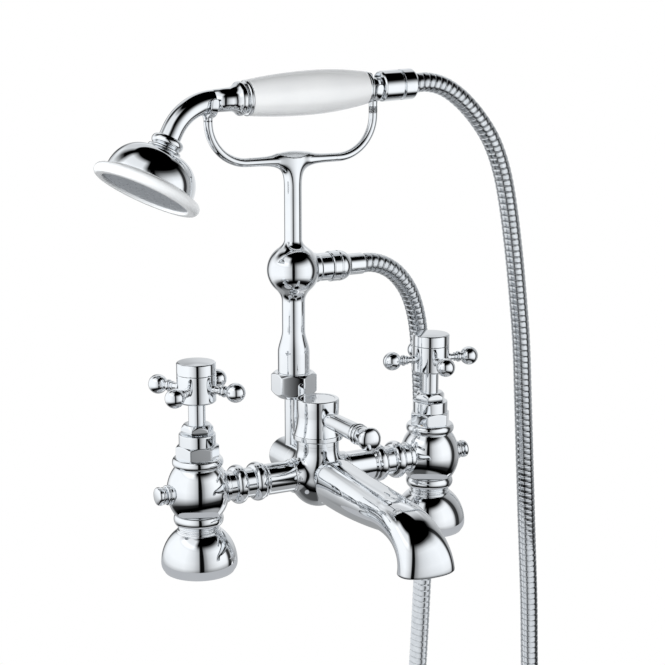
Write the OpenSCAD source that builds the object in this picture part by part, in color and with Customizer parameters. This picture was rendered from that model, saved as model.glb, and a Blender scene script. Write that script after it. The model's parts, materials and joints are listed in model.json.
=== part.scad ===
// Deck-mounted bath shower mixer with a cradle handset. Millimetres.
// Origin on the deck, midway between the legs. Z is up, the spout points to -Y, the cold leg is at +X.

/* [Layout] */
// Distance between the two leg centres
leg_spacing = 180; // [160:1:210]
// Height of the bridge and of the leg balls over the deck
bridge_z = 55.5; // [52:0.5:66]
// Distance of the riser behind the bridge
riser_back = 36; // [34:0.5:44]
// Height of the column's ball over the deck
sphere_z = 191; // [184:1:215]
// Height of the yoke's bar over the deck
cradle_z = 267; // [258:1:300]
// Height of the handset's axis over the yoke's bar
handset_rise = 44.5; // [43:0.5:60]
// Upward slope of the handset toward the hose in degrees
handset_tilt = 2.3; // [0:0.1:4]
// Roll of the handset toward the front, in degrees
handset_roll = 7.5; // [0:0.5:10]

/* [Fits] */
// Gap between pieces that are fixed to each other
fit_gap = 0.1; // [0.05:0.01:0.15]
// Radial gap of a turning shaft in its hole
run_gap = 0.08; // [0.03:0.01:0.1]
// Gap between pieces that move past each other
clear_gap = 0.35; // [0.3:0.05:0.6]

/* [Legs] */
// Largest radius of the bell foot
foot_r = 25.6; // [24:0.1:30]
// Radius of the foot's flat underside
foot_base_r = 23.4; // [20:0.1:25]
// Height of the foot's widest ring
foot_lip_z = 6; // [4:0.5:8]
// Height of the foot's dome over that ring
foot_dome_h = 27; // [25:0.5:30]
// Radius of the neck over the foot
neck_r = 12.9; // [12.4:0.1:14]
// Radius of the bead under the ball
bead_r = 16.7; // [16:0.1:18.5]
// Height of that bead
bead_h = 9.4; // [8:0.2:12]
// Radius of the leg's ball
ball_r = 21; // [20:0.5:24]
// Half height that the ball's curve would have without the bead and the collar
ball_half_h = 24.2; // [23:0.1:27]
// Radius of the collar over the ball
collar_r = 17; // [16.5:0.1:19]
// Radius of the threaded inlet in the foot
inlet_r = 12.06; // [10:0.01:12.5]
// Depth of the threaded inlet
inlet_depth = 14; // [10:0.5:18]
// Radius of the waterway over the inlet
waterway_r = 9; // [7:0.5:10]
// Radius of the valve seat's hole
seat_r = 6; // [5:0.5:7]
// Radius of the valve chamber
chamber_r = 12.2; // [11.5:0.1:12.8]

/* [Service plugs] */
// Radius of the plug's head
plug_r = 6.2; // [6:0.1:8]
// Length of the plug outside its washer
plug_len = 6.4; // [6:0.1:12]
// Radius of the plug's thread
plug_thread_r = 4; // [3:0.1:4.5]
// Thickness of the plug's washer
plug_washer_t = 2; // [1:0.1:3]

/* [Headgear] */
// Width across flats of the headgear's hexagon
hex_af = 25.5; // [24:0.5:28]
// Height of that hexagon
hex_h = 8.6; // [6:0.2:11]
// Radius of the round drum over the hexagon
drum_r = 12.25; // [11.5:0.05:13]
// Height of the drum
drum_h = 7.6; // [5:0.1:10]
// Width across flats of the gland nut
gland_af = 19; // [17:0.5:20]
// Height of the gland nut
gland_h = 6.6; // [4:0.1:9]
// Radius of the spindle
spindle_r = 5.7; // [5:0.1:6.5]
// Length of spindle in view between gland nut and handle
spindle_show = 14.9; // [8:0.1:22]
// Turn of the hexagons on the hot leg, in degrees
hot_hex_turn = 46; // [0:1:60]
// Turn of the hexagons on the cold leg, in degrees
cold_hex_turn = 52; // [0:1:60]
// Radius of the ceramic discs
disc_r = 7.7; // [7.2:0.1:8]
// Thickness of a ceramic disc
disc_t = 3.6; // [2.5:0.1:4]
// Thickness of the rubber seat seal
seal_t = 2.8; // [2:0.1:3.5]

/* [Crossheads] */
// Radius of the handle's hub
hub_r = 13; // [12:0.5:16]
// Height of the hub
hub_h = 18.9; // [17:0.1:22]
// Height of the cap on the hub
cap_h = 9; // [6:0.1:11]
// Height of the arms over the hub's underside
arm_up = 9; // [8:0.5:10]
// Radius of an arm
arm_r = 2.35; // [2:0.05:3]
// Distance of the arm balls from the spindle's axis
arm_reach = 28.9; // [26:0.5:34]
// Radius of an arm's ball
arm_ball_r = 6.5; // [5.5:0.1:7.5]
// Radius of the ring beside the ball
arm_ring_r = 3.9; // [3.2:0.1:5]
// Turn of the hot handle when closed, in degrees
hot_turn = 37.6; // [0:0.1:90]
// Turn of the cold handle when closed, in degrees
cold_turn = 79.5; // [0:0.1:90]

/* [Bridge] */
// Radius of the bridge arms
bridge_r = 10.6; // [10:0.1:11.2]
// Radius of the beads on the bridge arms
bridge_bead_r = 13.3; // [12:0.1:15]
// Width of each bead
bridge_bead_w = 8.6; // [6:0.2:10]
// Distance of the first bead from the leg's axis
bead_1_out = 28.7; // [26.5:0.1:30]
// Distance between the two beads
bead_step = 14.3; // [11:0.1:16]
// Radius of the arm's tail in the leg
tail_r = 8.9; // [8:0.1:9.2]
// Radius of the bridge's waterway
bridge_bore_r = 6.6; // [5:0.1:6.8]

/* [Body] */
// Radius of the body's belly
belly_r = 19; // [18:0.5:22]
// Depth of the belly below the bridge's axis
belly_down = 24; // [20:0.5:26]
// Radius of the body's neck
body_neck_r = 14.4; // [14:0.1:16]
// Height of the body's top over the bridge's axis
body_up = 23.6; // [22:0.1:26]
// Radius of the rear stub
stub_r = 12.5; // [12:0.1:14.5]
// Length of the rear stub past the riser
stub_past = 15; // [12:0.5:20]
// Radius of the diverter's bore
spool_bore_r = 9.5; // [9:0.1:10]
// Radius of the ports into the diverter
port_r = 3.4; // [2.5:0.1:3.5]

/* [Spout] */
// Distance of the spout's root from the body's axis
spout_root = 22; // [21:0.5:26]
// Distance of the mouth's centre from the body's axis
spout_reach = 143.5; // [120:0.5:180]
// Length over which the spout bends down
spout_bend = 42.5; // [36:0.5:55]
// Height of the mouth over the deck
mouth_z = 30; // [20:0.5:34]
// Half width of the spout past its root
spout_half_w = 15.4; // [14:0.1:18]
// Half height of the spout past its root
spout_half_h = 16.2; // [14:0.1:17]
// Half height of the spout where it bends
bend_half_h = 11.8; // [11:0.1:14]
// Half width of the mouth
mouth_half_w = 19.3; // [17:0.1:24]
// Wall of the spout
spout_wall = 2.8; // [2:0.1:3.2]
// Height of the flow straightener in the mouth, in degrees of the bend
straightener_at = 66; // [60:1:72]

/* [Diverter] */
// Radius of the diverter's cap
cap_r = 14.1; // [13:0.1:16]
// Radius of the cap's flange
flange_r = 16.5; // [15.5:0.1:20]
// Height of the flange
flange_h = 3.4; // [3:0.1:6]
// Height of the cap
divert_h = 28.1; // [26:0.1:36]
// Height of the lever over the body's top
lever_up = 17.4; // [16:0.1:19]
// Radius of the lever's stem
lever_r = 5.9; // [5:0.1:6.5]
// Distance of the lever's ball from the cap's axis
lever_reach = 72; // [60:0.5:74]
// Radius of the lever's ball
lever_ball_r = 7.2; // [6.5:0.1:8]
// Turn of the lever from bath to shower, in degrees
lever_travel = 75; // [60:1:75]

/* [Riser and column] */
// Radius of the lower riser pipe
riser_r = 6.6; // [6:0.1:7.2]
// Wall of the lower riser pipe
riser_wall = 1.6; // [1:0.1:2]
// Height of the union nut's underside over the bridge's axis
union_up = 45.5; // [42:0.5:55]
// Width across flats of the union nut
union_af = 28; // [26.5:0.5:31]
// Height of the union nut
union_h = 17.5; // [16:0.5:20]
// Radius of the column's foot
column_r = 11.15; // [10.5:0.05:12]
// Height of the column's foot over the union nut
column_foot = 14; // [8:0.5:20]
// Radius of the column's waist
waist_r = 8.05; // [7.5:0.05:9]
// Length of the taper from foot to waist
taper_h = 16; // [10:0.5:18]
// Radius of the column's ball
sphere_r = 18.3; // [17:0.1:21]
// Radius of the column's waterway
column_bore_r = 5; // [4:0.1:5.5]

/* [Cradle] */
// Radius of the cradle's stem
stem_r = 6.4; // [6:0.1:7.5]
// Radius of the yoke's bar
yoke_r = 3; // [2.5:0.1:3.5]
// Radius of the yoke's two bends
yoke_bend = 28; // [22:0.5:30]
// Distance of the rose side's arm from the stem
yoke_front = 62.5; // [60:0.5:66]
// Wall of the two forks
fork_wall = 2.8; // [2:0.1:3.4]
// Width of the fork on the rose side
fork_front_w = 5.5; // [5:0.5:8]
// Width of the fork on the hose side
fork_back_w = 5.5; // [5:0.5:7]
// Height of the low prongs over the handset's axis
prong_low = 3; // [2:0.5:6]
// Height of the tall prong over the handset's axis
prong_tall = 10; // [6:0.5:14]

/* [Handset] */
// Radius of the swan arm
swan_r = 7.4; // [7.2:0.1:8.6]
// Waterway radius of the swan arm
swan_bore_r = 5.4; // [4.5:0.1:6]
// Start of the swan arm's bend, measured from the column's axis
swan_start = 59; // [56:0.5:62]
// Radius of the swan arm's bend
swan_bend = 36; // [28:0.5:40]
// Angle of the swan arm's bend in degrees
swan_angle = 58; // [50:0.1:70]
// Straight length between the bend and the rose
swan_end = 9.5; // [6:0.5:14]
// Radius of the collar at the grip
grip_collar_r = 11.6; // [11:0.1:13.5]
// Front end of the grip, measured from the column's axis
grip_front = 33.4; // [30:0.1:35]
// Back end of the grip, measured from the column's axis
grip_back = 55.5; // [52:0.5:57.5]
// Largest radius of the grip
grip_r = 15.05; // [13.5:0.05:17]
// Radius of the grip's front end
grip_front_r = 12.2; // [11.6:0.1:13]
// Radius of the grip's back end
grip_back_r = 11.3; // [10.5:0.1:12.5]
// Radius of the core pipe through the grip
core_r = 6.5; // [6:0.1:7]
// Waterway radius of the core pipe
core_bore_r = 4.4; // [3.5:0.1:5]
// Length of bare neck that lies in the fork
neck_len = 8.5; // [8.2:0.1:11]

/* [Rose] */
// Radius of the ring on the rose's neck
rose_nut_r = 11.4; // [11:0.1:13.5]
// Radius of the bell's base
bell_r = 30.2; // [29:0.1:36]
// Height of the bell
bell_h = 21.6; // [18:0.1:26]
// Wall of the bell
bell_wall = 2; // [1.4:0.1:3]
// Radius of the white rim
rim_r = 37; // [35:0.1:42]
// Height of the white rim
rim_h = 8.8; // [7:0.1:11]
// Radius of the spray plate
plate_r = 30; // [28:0.1:30.6]
// Thickness of the spray plate
plate_t = 2; // [1.5:0.1:2.5]
// Radius of a spray hole
spray_r = 0.8; // [0.4:0.1:1]
// Rings of spray holes
spray_rings = 4; // [2:1:5]

/* [Hose] */
// Outer radius of the hose
hose_r = 6.8; // [6:0.1:7]
// Radius of the hose's bore
hose_bore_r = 4.1; // [3.8:0.1:4.4]
// Depth of the grooves between the ribs
rib_depth = 0.5; // [0.3:0.1:1]
// Number of ribs along the hose
rib_count = 200; // [80:1:200]
// Radius of the hose nuts
nut_r = 10.7; // [10.2:0.1:12]
// Radius of the thread inside the hose nuts
thread_r = 7.65; // [7.2:0.05:8]
// Length of the thread inside the hose nuts
thread_len = 10.4; // [8:0.2:11]
// Thickness of a hose washer
washer_t = 2; // [1.2:0.1:2.4]
// Length of hose held inside a ferrule
grip_len = 12; // [12:0.5:13]

/* [Hidden] */
$fn = 64;
cut = 1;

chrome = [0.80, 0.82, 0.85];
brass = [0.78, 0.62, 0.30];
white = [0.96, 0.96, 0.94];
grey = [0.60, 0.61, 0.62];
rubber = [0.16, 0.16, 0.17];
steel = [0.66, 0.68, 0.70];

function mix(a, b, t) = a + (b - a) * t;
function ease(t) = 0.5 - 0.5 * cos(180 * t);
function unit(v) = v / norm(v);
function hex_r(af) = af / 2 / cos(30);
function steps(n) = [for (i = [0:n]) i / n];
// Points of an ellipse's arc round a centre, from one angle to another
function arc(c, rx, ry, a0, a1, n) =
    [for (t = steps(n)) let (a = mix(a0, a1, t)) c + [rx * cos(a), ry * sin(a)]];
// Points of a profile whose radius goes from r0 to r1 as a power of the way up
function flare(r0, r1, z0, z1, p, n) = [for (t = steps(n)) [mix(r0, r1, pow(t, p)), mix(z0, z1, t)]];
// Where a function changes sign between two values
function meet(f, lo, hi, n = 40) =
    let (mid = (lo + hi) / 2)
    n == 0 ? mid : f(lo) * f(mid) <= 0 ? meet(f, lo, mid, n - 1) : meet(f, mid, hi, n - 1);

// Leg: its radius at a height, on the ball, the bead and the collar
leg_x = leg_spacing / 2;
bead_z = bridge_z - 19.2;
bead_core_r = neck_r;
neck_z = bead_z - bead_h / 2 - 2;
leg_top_z = bridge_z + 23.3;
leg_top_r = 14.9;
collar_h = 3.5;
collar_core_r = leg_top_r - 0.7;
collar_z = leg_top_z - 3.2;
function bulge(t) = sqrt(max(0, 1 - t * t));
function ball_at(z) = ball_r * bulge((z - bridge_z) / ball_half_h);
function foot_at(z) = foot_r * bulge((z - foot_lip_z) / foot_dome_h);
function bead_at(z) = mix(bead_core_r, bead_r, bulge(2 * (z - bead_z) / bead_h));
function collar_at(z) = mix(collar_core_r, collar_r, bulge((z - collar_z) / collar_h));
crease_low_z = meet(function(z) ball_at(z) - bead_at(z), bead_z, bead_z + bead_h / 2);
crease_high_z = meet(function(z) ball_at(z) - collar_at(z), bridge_z + ball_r / 2, collar_z);
bridge_boss_r = 11;
bridge_boss_out = ball_r - 0.8;
plug_boss_r = 6.7;
plug_boss_out = ball_r + 0.6;
socket_out = chamber_r + 0.8;
seat_z = bridge_z - chamber_r + 1;
seat_t = 5;

// Headgear and handle, upward from the valve seat
fixed_z = seat_z + seal_t;
disc_gap = 0.15;
moving_z = fixed_z + disc_t + disc_gap;
head_z = moving_z + disc_t;
head_h = 6;
cage_top_z = head_z + head_h + clear_gap;
cage_r = chamber_r - 2.4;
cage_bore_r = disc_r + 0.2;
window_w = 6;
barrel_z = bridge_z + 8;
drum_z = leg_top_z + hex_h;
gland_z = drum_z + drum_h;
gland_top_z = gland_z + gland_h;
hub_z = gland_top_z + spindle_show;
hub_top_z = hub_z + hub_h;
arm_z = hub_z + arm_up;
arm_in = 3.4;
spline_r = 4;
spline_z = hub_z + 1.6;
web_z = hub_top_z - 4.2;
web_t = 1.3;
screw_r = 1.9;
screw_head_r = 3.8;
screw_head_h = 2.2;
cap_spigot_r = 9;
cap_spigot_h = 2.2;
edge = 0.35;

// Bridge arms, measured from the leg's axis
tail_out = socket_out + 1;
bead_2_out = bead_1_out + bead_step;
bridge_neck_r = bridge_r - 0.5;
seal_out = tail_out + 2.4;
seal_w = 2.2;
seal_in_r = bridge_bore_r + 0.8;

// Body
body_top_z = bridge_z + body_up;
belly_z = bridge_z - 4;
belly_h = belly_down - 4;
socket_in = belly_r - 6.5;
stub_end = riser_back + stub_past;
port_z = bridge_z + 4.5;
inlet_port_z = bridge_z - 3.3;
spool_floor_z = bridge_z - 13.5;
port_wall = 2.5;
way_r = 5.6;
rear_plug_r = 9;
rear_plug_t = 5;
rear_plug_in = 0.4;

// Diverter
spool_z = bridge_z - 0.2;
spool_r = spool_bore_r - run_gap;
spool_wall = 3;
spool_stem_r = 5;
gland_ring_r = 12;
gland_ring_z = body_top_z - 3.7;
gland_ring_h = 6.6;
divert_z = body_top_z + 0.6;
divert_top_z = divert_z + divert_h;
stem_top_z = divert_z + 11;
lever_z = body_top_z + lever_up;
lever_tail_r = 4;
lever_dome_h = 4.4;
lever_tail_in = 6.5;
set_z = divert_z + 8.5;
set_r = 2;

// Spout: sections with the shape of a rounded rectangle
spout_n = 40;
spout_power = 2.25;
spout_drop = 0.6;
spout_sag = 1;
root_len = 6;
root_half_w = spout_half_w - 4.4;
root_half_h = spout_half_h - 4.6;
nipple_r = min(root_half_w, root_half_h) - spout_wall - 0.6;
nipple_wall = 1.6;
nipple_len = 4.5;
boss_front_r = min(root_half_w, root_half_h) - 0.2;
spout_knee = spout_reach - spout_bend;

// Riser, union and column
union_z = bridge_z + union_up;
union_top_z = union_z + union_h;
union_floor = 1.6;
pipe_flange_r = column_r - 0.5;
pipe_flange_t = 2.4;
union_washer_t = 2;
pipe_top_z = union_z + union_floor + pipe_flange_t;
column_z = pipe_top_z + union_washer_t;
taper_z = union_top_z + column_foot;
join_low_r = 12.5;
join_high_r = 10.3;
join_low_z = sphere_z - sqrt(pow(sphere_r, 2) - pow(join_low_r, 2));
join_high_z = sphere_z + sqrt(pow(sphere_r, 2) - pow(join_high_r, 2));
join_low_h = 9.2;
join_high_h = 7.5;
column_top_z = join_high_z + join_high_h;
outlet_r = 9.8;
outlet_x = sphere_r + 8.8;
stem_tail_r = 4;
stem_tail_len = 9;

// Handset, measured along its own axis from the column's axis
handset_z = cradle_z + handset_rise;
ring_front_t = 3.1;
ring_back_t = 3.6;
collar_back = -grip_front - ring_front_t;
collar_flare = 18;
core_front = collar_back - 9;
grip_peak = 13;
nut_top_u = grip_back + ring_back_t + neck_len;
nut_top_len = 27;
nut_top_end = nut_top_u + nut_top_len;
nut_line = 15.5;

// Cradle: each fork stands where the handset lies in it
head_h_cradle = 12;
head_flare = 3.1;
yoke_top_z = cradle_z + yoke_bend;
fork_front_r = swan_r + clear_gap + 0.3;
fork_back_r = core_r + clear_gap + 0.1;
fork_front_x = 1 - yoke_front;
fork_back_x = grip_back + ring_back_t + neck_len / 2;
yoke_back = fork_back_x - 0.7;
swan_lean = asin(max(0, (-fork_front_x - swan_start) / swan_bend));
swan_drop = swan_bend * (1 - cos(swan_lean));

// Rose, measured along its own axis from the end of the arm
rose_u = -swan_start - swan_bend * sin(swan_angle) - swan_end * cos(swan_angle);
rose_w = -swan_bend * (1 - cos(swan_angle)) - swan_end * sin(swan_angle);
rose_washer_t = 1.4;
tail_v = rose_washer_t + 0.1;
bell_v = 6.4;
bell_top_r = 11.5;
rim_v = bell_v + bell_h;
plate_v = rim_v + rim_h - 3.8;
plate_ledge = 1.4;
spray_edge = 5;

// Hose ends: the lower nut is measured from the column's axis
nut_low_x = outlet_x + 0.3;
nut_low_len = 15;
nut_low_end = nut_low_x + nut_low_len;
nut_shoulder = 7;
ferrule_r = hose_r + 0.75;
flange_t = 1.9;
hose_slack = 0.25;
nipple_hose_r = hose_bore_r - 0.45;
hose_way_r = hose_bore_r - 1.3;

// Hose route: the ends follow the nuts, and the points between were chosen by hand
hose_start = [nut_low_end, riser_back, sphere_z];
hose_free = hose_start + [grip_len, 0, 0];
tilt_dir = [cos(handset_tilt), 0, sin(handset_tilt)];
hose_exit = [0, riser_back, handset_z] + nut_top_end * tilt_dir;
hose_end = hose_exit - grip_len * tilt_dir;
route = [
    hose_start, (hose_start + hose_free) / 2, hose_free,
    [61, 36, 191], [69.5, 36.3, 188.9], [78.5, 37, 184.3], [87.1, 38.5, 177], [95, 40.3, 167],
    [101.3, 42.5, 154.5], [106, 44.5, 139], [109, 45.9, 117], [111.8, 47.2, 82], [114, 48, 20], [115, 48, -40], [113, 47.5, -90],
    [110, 46.5, -140], [107.5, 45.5, -190], [107.5, 44, -243], [117.5, 42.5, -273.5], [143, 40.5, -292],
    [175, 38.5, -292], [200.5, 37, -273.5], [210.5, 36, -243], [209.5, 36, -190], [207, 36, -140],
    [205, 36, -90], [201.8, 36, -40], [198, 36, 20], [194.6, 36, 75], [191.8, 36, 118], [188, 36, 152],
    [183, 36, 189], [177, 36, 224], [170.6, 36, 250], [161.5, 36, 271.5], [149, 36, 288.8],
    [135, 36, 302.6], [120.5, 36, 312], [106.5, 36, 315.8],
    hose_exit, (hose_exit + hose_end) / 2, hose_end
];

module lathe(p) { rotate_extrude() polygon(p); }
module ring(ri, ro, z0, z1) { rotate_extrude() translate([ri, z0]) square([ro - ri, z1 - z0]); }
module rod(r, z0, z1) { translate([0, 0, z0]) cylinder(r = r, h = z1 - z0); }
module along_x() { rotate([0, 90, 0]) children(); }
module along_back() { rotate([-90, 0, 0]) children(); }
module along_front() { rotate([90, 0, 0]) children(); }
module at_height(z) { translate([0, 0, z]) children(); }
module on_left() { translate([-leg_x, 0, 0]) children(); }
module on_right() { translate([leg_x, 0, 0]) children(); }
module on_both() { on_left() children(); on_right() children(); }
module mirrored() { mirror([1, 0, 0]) children(); }
module at_riser() { translate([0, riser_back, 0]) children(); }
module at_outlet() { translate([0, riser_back, sphere_z]) along_x() children(); }
module in_handset() { translate([0, riser_back, handset_z]) rotate([-handset_roll, -handset_tilt, 0]) children(); }
module in_rose() { in_handset() translate([rose_u, 0, rose_w]) rotate([0, -90 - swan_angle, 0]) children(); }
module four_ways(turn) { for (a = [0:90:270]) rotate([0, 0, turn + a]) children(); }
// A bulging ring of height h round a core
module bead(core_r, r, z, h) {
    lathe(concat([[0, z - h / 2]], arc([core_r, z], r - core_r, h / 2, -90, 90, 20), [[0, z + h / 2]]));
}
// A hexagon bar whose corners are turned off at the top
module hexagon(af, z0, z1, turn) {
    r = hex_r(af);
    flat_r = af / 2 - 0.3;
    intersection() {
        at_height(z0) rotate([0, 0, turn]) cylinder(r = r, h = z1 - z0, $fn = 6);
        lathe([[0, z0], [r + cut, z0], [r + cut, z1 - (r + cut - flat_r) * 0.62], [flat_r, z1], [0, z1]]);
    }
}

// Leg casting, with the bridge toward +X and the service plug toward -X
module leg() {
    lip = foot_lip_z;
    outline = concat(
        [[0, 0], [foot_base_r, 0]], arc([foot_r - 3.4, lip], 3.4, lip - 0.6, -58, -4, 6),
        [for (t = steps(22)) let (z = mix(lip, neck_z, sin(90 * t))) [max(neck_r, foot_at(z)), z]],
        [[neck_r + 0.6, neck_z + 0.3], [neck_r + 0.6, neck_z + 1.1], [neck_r, neck_z + 1.4]],
        [for (t = steps(24)) let (z = mix(bead_z - bead_h / 2 + 0.2, crease_low_z, ease(t))) [bead_at(z), z]],
        [for (t = steps(36)) if (t > 0) let (z = mix(crease_low_z, crease_high_z, t)) [ball_at(z), z]],
        [for (t = steps(16)) if (t > 0) let (z = mix(crease_high_z, leg_top_z - 0.4, t)) [collar_at(z), z]],
        [[leg_top_r, leg_top_z], [0, leg_top_z]]
    );
    waterway = [
        [0, -cut], [inlet_r, -cut], [inlet_r, inlet_depth], [waterway_r, inlet_depth],
        [waterway_r, seat_z - seat_t], [seat_r, seat_z - seat_t], [seat_r, seat_z],
        [chamber_r, seat_z], [chamber_r, leg_top_z + cut], [0, leg_top_z + cut]
    ];
    side_r = tail_r + fit_gap;
    color(chrome) difference() {
        union() {
            lathe(outline);
            at_height(bridge_z) along_x() rod(bridge_boss_r, ball_r - 8, bridge_boss_out);
            at_height(bridge_z) along_x() rod(plug_boss_r, -plug_boss_out, -ball_r + 5);
        }
        lathe(waterway);
        at_height(bridge_z) along_x() rod(side_r, socket_out, ball_r + cut);
        at_height(bridge_z) along_x() rod(bridge_bore_r, chamber_r - 4, socket_out + cut);
        at_height(bridge_z) along_x() rod(plug_thread_r + fit_gap, -ball_r - 5, -chamber_r + 4);
    }
}
module left_leg() { on_left() leg(); }
module right_leg() { on_right() mirrored() leg(); }

module at_plug() { at_height(bridge_z) rotate([0, -90, 0]) children(); }
module plug() {
    seat = plug_boss_out + plug_washer_t;
    groove = seat + 3.2;
    top = seat + plug_len;
    color(chrome) at_plug() union() {
        rod(plug_thread_r, chamber_r + 1.6, seat + 1);
        lathe(concat(
            [[0, seat], [plug_r - 1.6, seat]], arc([plug_r - 1.8, seat + 1.6], 1.4, 1.3, -60, 80, 10),
            [[plug_r - 2, groove], [plug_r - 0.4, groove + 0.4]],
            arc([plug_r - 1.4, top - 2.2], 1.4, 2.2, -30, 90, 12), [[0, top + 0.5]]
        ));
    }
}
module plugs() { on_left() plug(); on_right() mirrored() plug(); }
module plug_washer() {
    low = plug_boss_out;
    hole_r = plug_thread_r + fit_gap;
    half = plug_washer_t / 2;
    color(chrome) at_plug() lathe(concat(
        [[hole_r, low]], arc([plug_boss_r - 1.2, low + half], 1.2, half, -90, 90, 10),
        [[hole_r, low + plug_washer_t]]
    ));
}
module plug_washers() { on_left() plug_washer(); on_right() mirrored() plug_washer(); }

// Headgear, spindle and discs
module headgear(turn) {
    color(chrome) difference() {
        union() {
            hexagon(hex_af, leg_top_z, drum_z, turn);
            lathe([
                [0, drum_z - 1], [drum_r, drum_z - 1],
                [drum_r, gland_z - 0.6], [drum_r - 0.6, gland_z], [0, gland_z]
            ]);
            rod(chamber_r - fit_gap, barrel_z, leg_top_z + 1);
            rod(cage_r, seat_z, barrel_z + 1);
        }
        rod(cage_bore_r, seat_z - cut, cage_top_z);
        rod(spindle_r + run_gap, cage_top_z - cut, gland_z + cut);
        four_ways(45) translate([cage_bore_r - 1, -window_w / 2, moving_z])
            cube([window_w, window_w, disc_t + head_h - 1.5]);
    }
}
module left_headgear() { on_left() headgear(hot_hex_turn); }
module right_headgear() { on_right() headgear(cold_hex_turn); }
module gland(turn) {
    far = hex_r(gland_af) + 1;
    color(chrome) difference() {
        intersection() {
            at_height(gland_z) rotate([0, 0, turn]) cylinder(r = hex_r(gland_af), h = gland_h, $fn = 6);
            lathe([
                [0, gland_z], [far, gland_z], [far, gland_top_z - gland_h * 0.6],
                [gland_af / 2 - 0.9, gland_top_z], [0, gland_top_z]
            ]);
        }
        rod(spindle_r + run_gap + 0.07, gland_z - cut, gland_top_z + cut);
    }
}
module glands() { on_left() gland(hot_hex_turn); on_right() gland(cold_hex_turn); }
module spindle() {
    top = web_z - fit_gap;
    color(chrome) difference() {
        union() {
            rod(disc_r, head_z, head_z + head_h);
            rod(spindle_r, head_z + head_h - 1, spline_z);
            at_height(spline_z - 1) cylinder(r = spline_r, h = top - spline_z + 1, $fn = 12);
        }
        rod(screw_r + fit_gap, spline_z - 4, top + cut);
    }
}
module left_spindle() { on_left() spindle(); }
module right_spindle() { on_right() spindle(); }
module disc(z) {
    color(white) difference() {
        rod(disc_r, z, z + disc_t);
        for (s = [-1, 1]) translate([s * disc_r * 0.5, 0, 0]) rod(disc_r * 0.3, z - cut, z + disc_t + cut);
    }
}
module left_disc() { on_left() rotate([0, 0, 90]) disc(moving_z); }
module right_disc() { on_right() rotate([0, 0, 90]) disc(moving_z); }
module fixed_discs() { on_both() disc(fixed_z); }
module seat_seals() { color(rubber) on_both() ring(seat_r, disc_r, seat_z, fixed_z); }

// Crosshead handles
module hub(turn) {
    bevel = 0.9;
    color(chrome) difference() {
        lathe([
            [0, hub_z], [hub_r - bevel, hub_z], [hub_r, hub_z + bevel],
            [hub_r, hub_top_z - edge], [hub_r - edge, hub_top_z], [0, hub_top_z]
        ]);
        rod(spindle_r + fit_gap, hub_z - cut, spline_z + fit_gap);
        rod(spline_r + fit_gap, spline_z - cut, web_z);
        rod(screw_r + fit_gap, web_z - cut, web_z + web_t + cut);
        rod(cap_spigot_r + fit_gap, web_z + web_t, hub_top_z + cut);
        four_ways(turn) at_height(arm_z) along_x()
            rod(arm_r + fit_gap / 2, hub_r - arm_in - 0.2, hub_r + cut);
    }
}
module left_hub() { on_left() hub(hot_turn); }
module right_hub() { on_right() hub(cold_turn); }
module arm() {
    ring_x = arm_reach - arm_ball_r - 1.6;
    collar = arm_ring_r - 1;
    color(chrome) at_height(arm_z) along_x() union() {
        rod(arm_r, hub_r - arm_in, arm_reach);
        bead(arm_r - 0.4, arm_ring_r, ring_x, 3.2);
        rod(collar, ring_x, arm_reach);
        at_height(arm_reach) sphere(r = arm_ball_r);
    }
}
module left_arms() { on_left() four_ways(hot_turn) arm(); }
module right_arms() { on_right() four_ways(cold_turn) arm(); }
module handle_cap() {
    z = hub_top_z + fit_gap;
    side_z = z + cap_h * 0.8;
    rim_z = side_z + 0.8;
    color(chrome) union() {
        lathe(concat(
            [[0, z], [hub_r - edge, z], [hub_r, z + edge], [hub_r, side_z]],
            arc([hub_r - 0.8, side_z], 0.8, 0.8, 8, 76, 6),
            [for (t = steps(8)) [(hub_r - 0.9) * (1 - t), rim_z + (z + cap_h - rim_z) * sin(90 * t)]]
        ));
        ring(screw_head_r + 1.4, cap_spigot_r, z - cap_spigot_h, z + 0.5);
    }
}
module left_cap() { on_left() handle_cap(); }
module right_cap() { on_right() handle_cap(); }
module handle_screw() {
    z = web_z + web_t;
    slot_w = 1;
    slot_d = 0.9;
    color(steel) difference() {
        union() {
            rod(screw_r, spline_z - 3.4, z + 0.5);
            rod(screw_head_r, z, z + screw_head_h);
        }
        translate([-slot_w / 2, -screw_head_r - cut, z + screw_head_h - slot_d])
            cube([slot_w, 2 * (screw_head_r + cut), 2]);
    }
}
module left_screw() { on_left() handle_screw(); }
module right_screw() { on_right() handle_screw(); }

// Bridge arms, drawn from the leg's axis toward the body
module bridge_arm() {
    end = leg_x - socket_in;
    step_r = bridge_r + 1.1;
    step_out = bead_2_out + bridge_bead_w / 2 + 0.6;
    core_r = bridge_neck_r - 0.4;
    color(chrome) at_height(bridge_z) along_x() difference() {
        union() {
            rod(tail_r, tail_out, bridge_boss_out + 1);
            rod(bridge_neck_r, bridge_boss_out + fit_gap, bead_2_out);
            bead(core_r, bridge_bead_r, bead_1_out, bridge_bead_w);
            bead(core_r, bridge_bead_r, bead_2_out, bridge_bead_w);
            lathe([
                [0, bead_2_out], [step_r, bead_2_out], [step_r, step_out], [bridge_r, step_out + 1.4],
                [bridge_r, end], [0, end]
            ]);
        }
        rod(bridge_bore_r, tail_out - cut, end + cut);
        ring(seal_in_r, tail_r + cut, seal_out, seal_out + seal_w);
    }
}
module left_bridge() { on_left() bridge_arm(); }
module right_bridge() { on_right() mirrored() bridge_arm(); }
module bridge_seal() {
    squeeze = fit_gap / 2;
    color(rubber) at_height(bridge_z) along_x()
        ring(seal_in_r + squeeze, tail_r + squeeze, seal_out + squeeze, seal_out + seal_w - squeeze);
}
module bridge_seals() { on_left() bridge_seal(); on_right() mirrored() bridge_seal(); }

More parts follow.
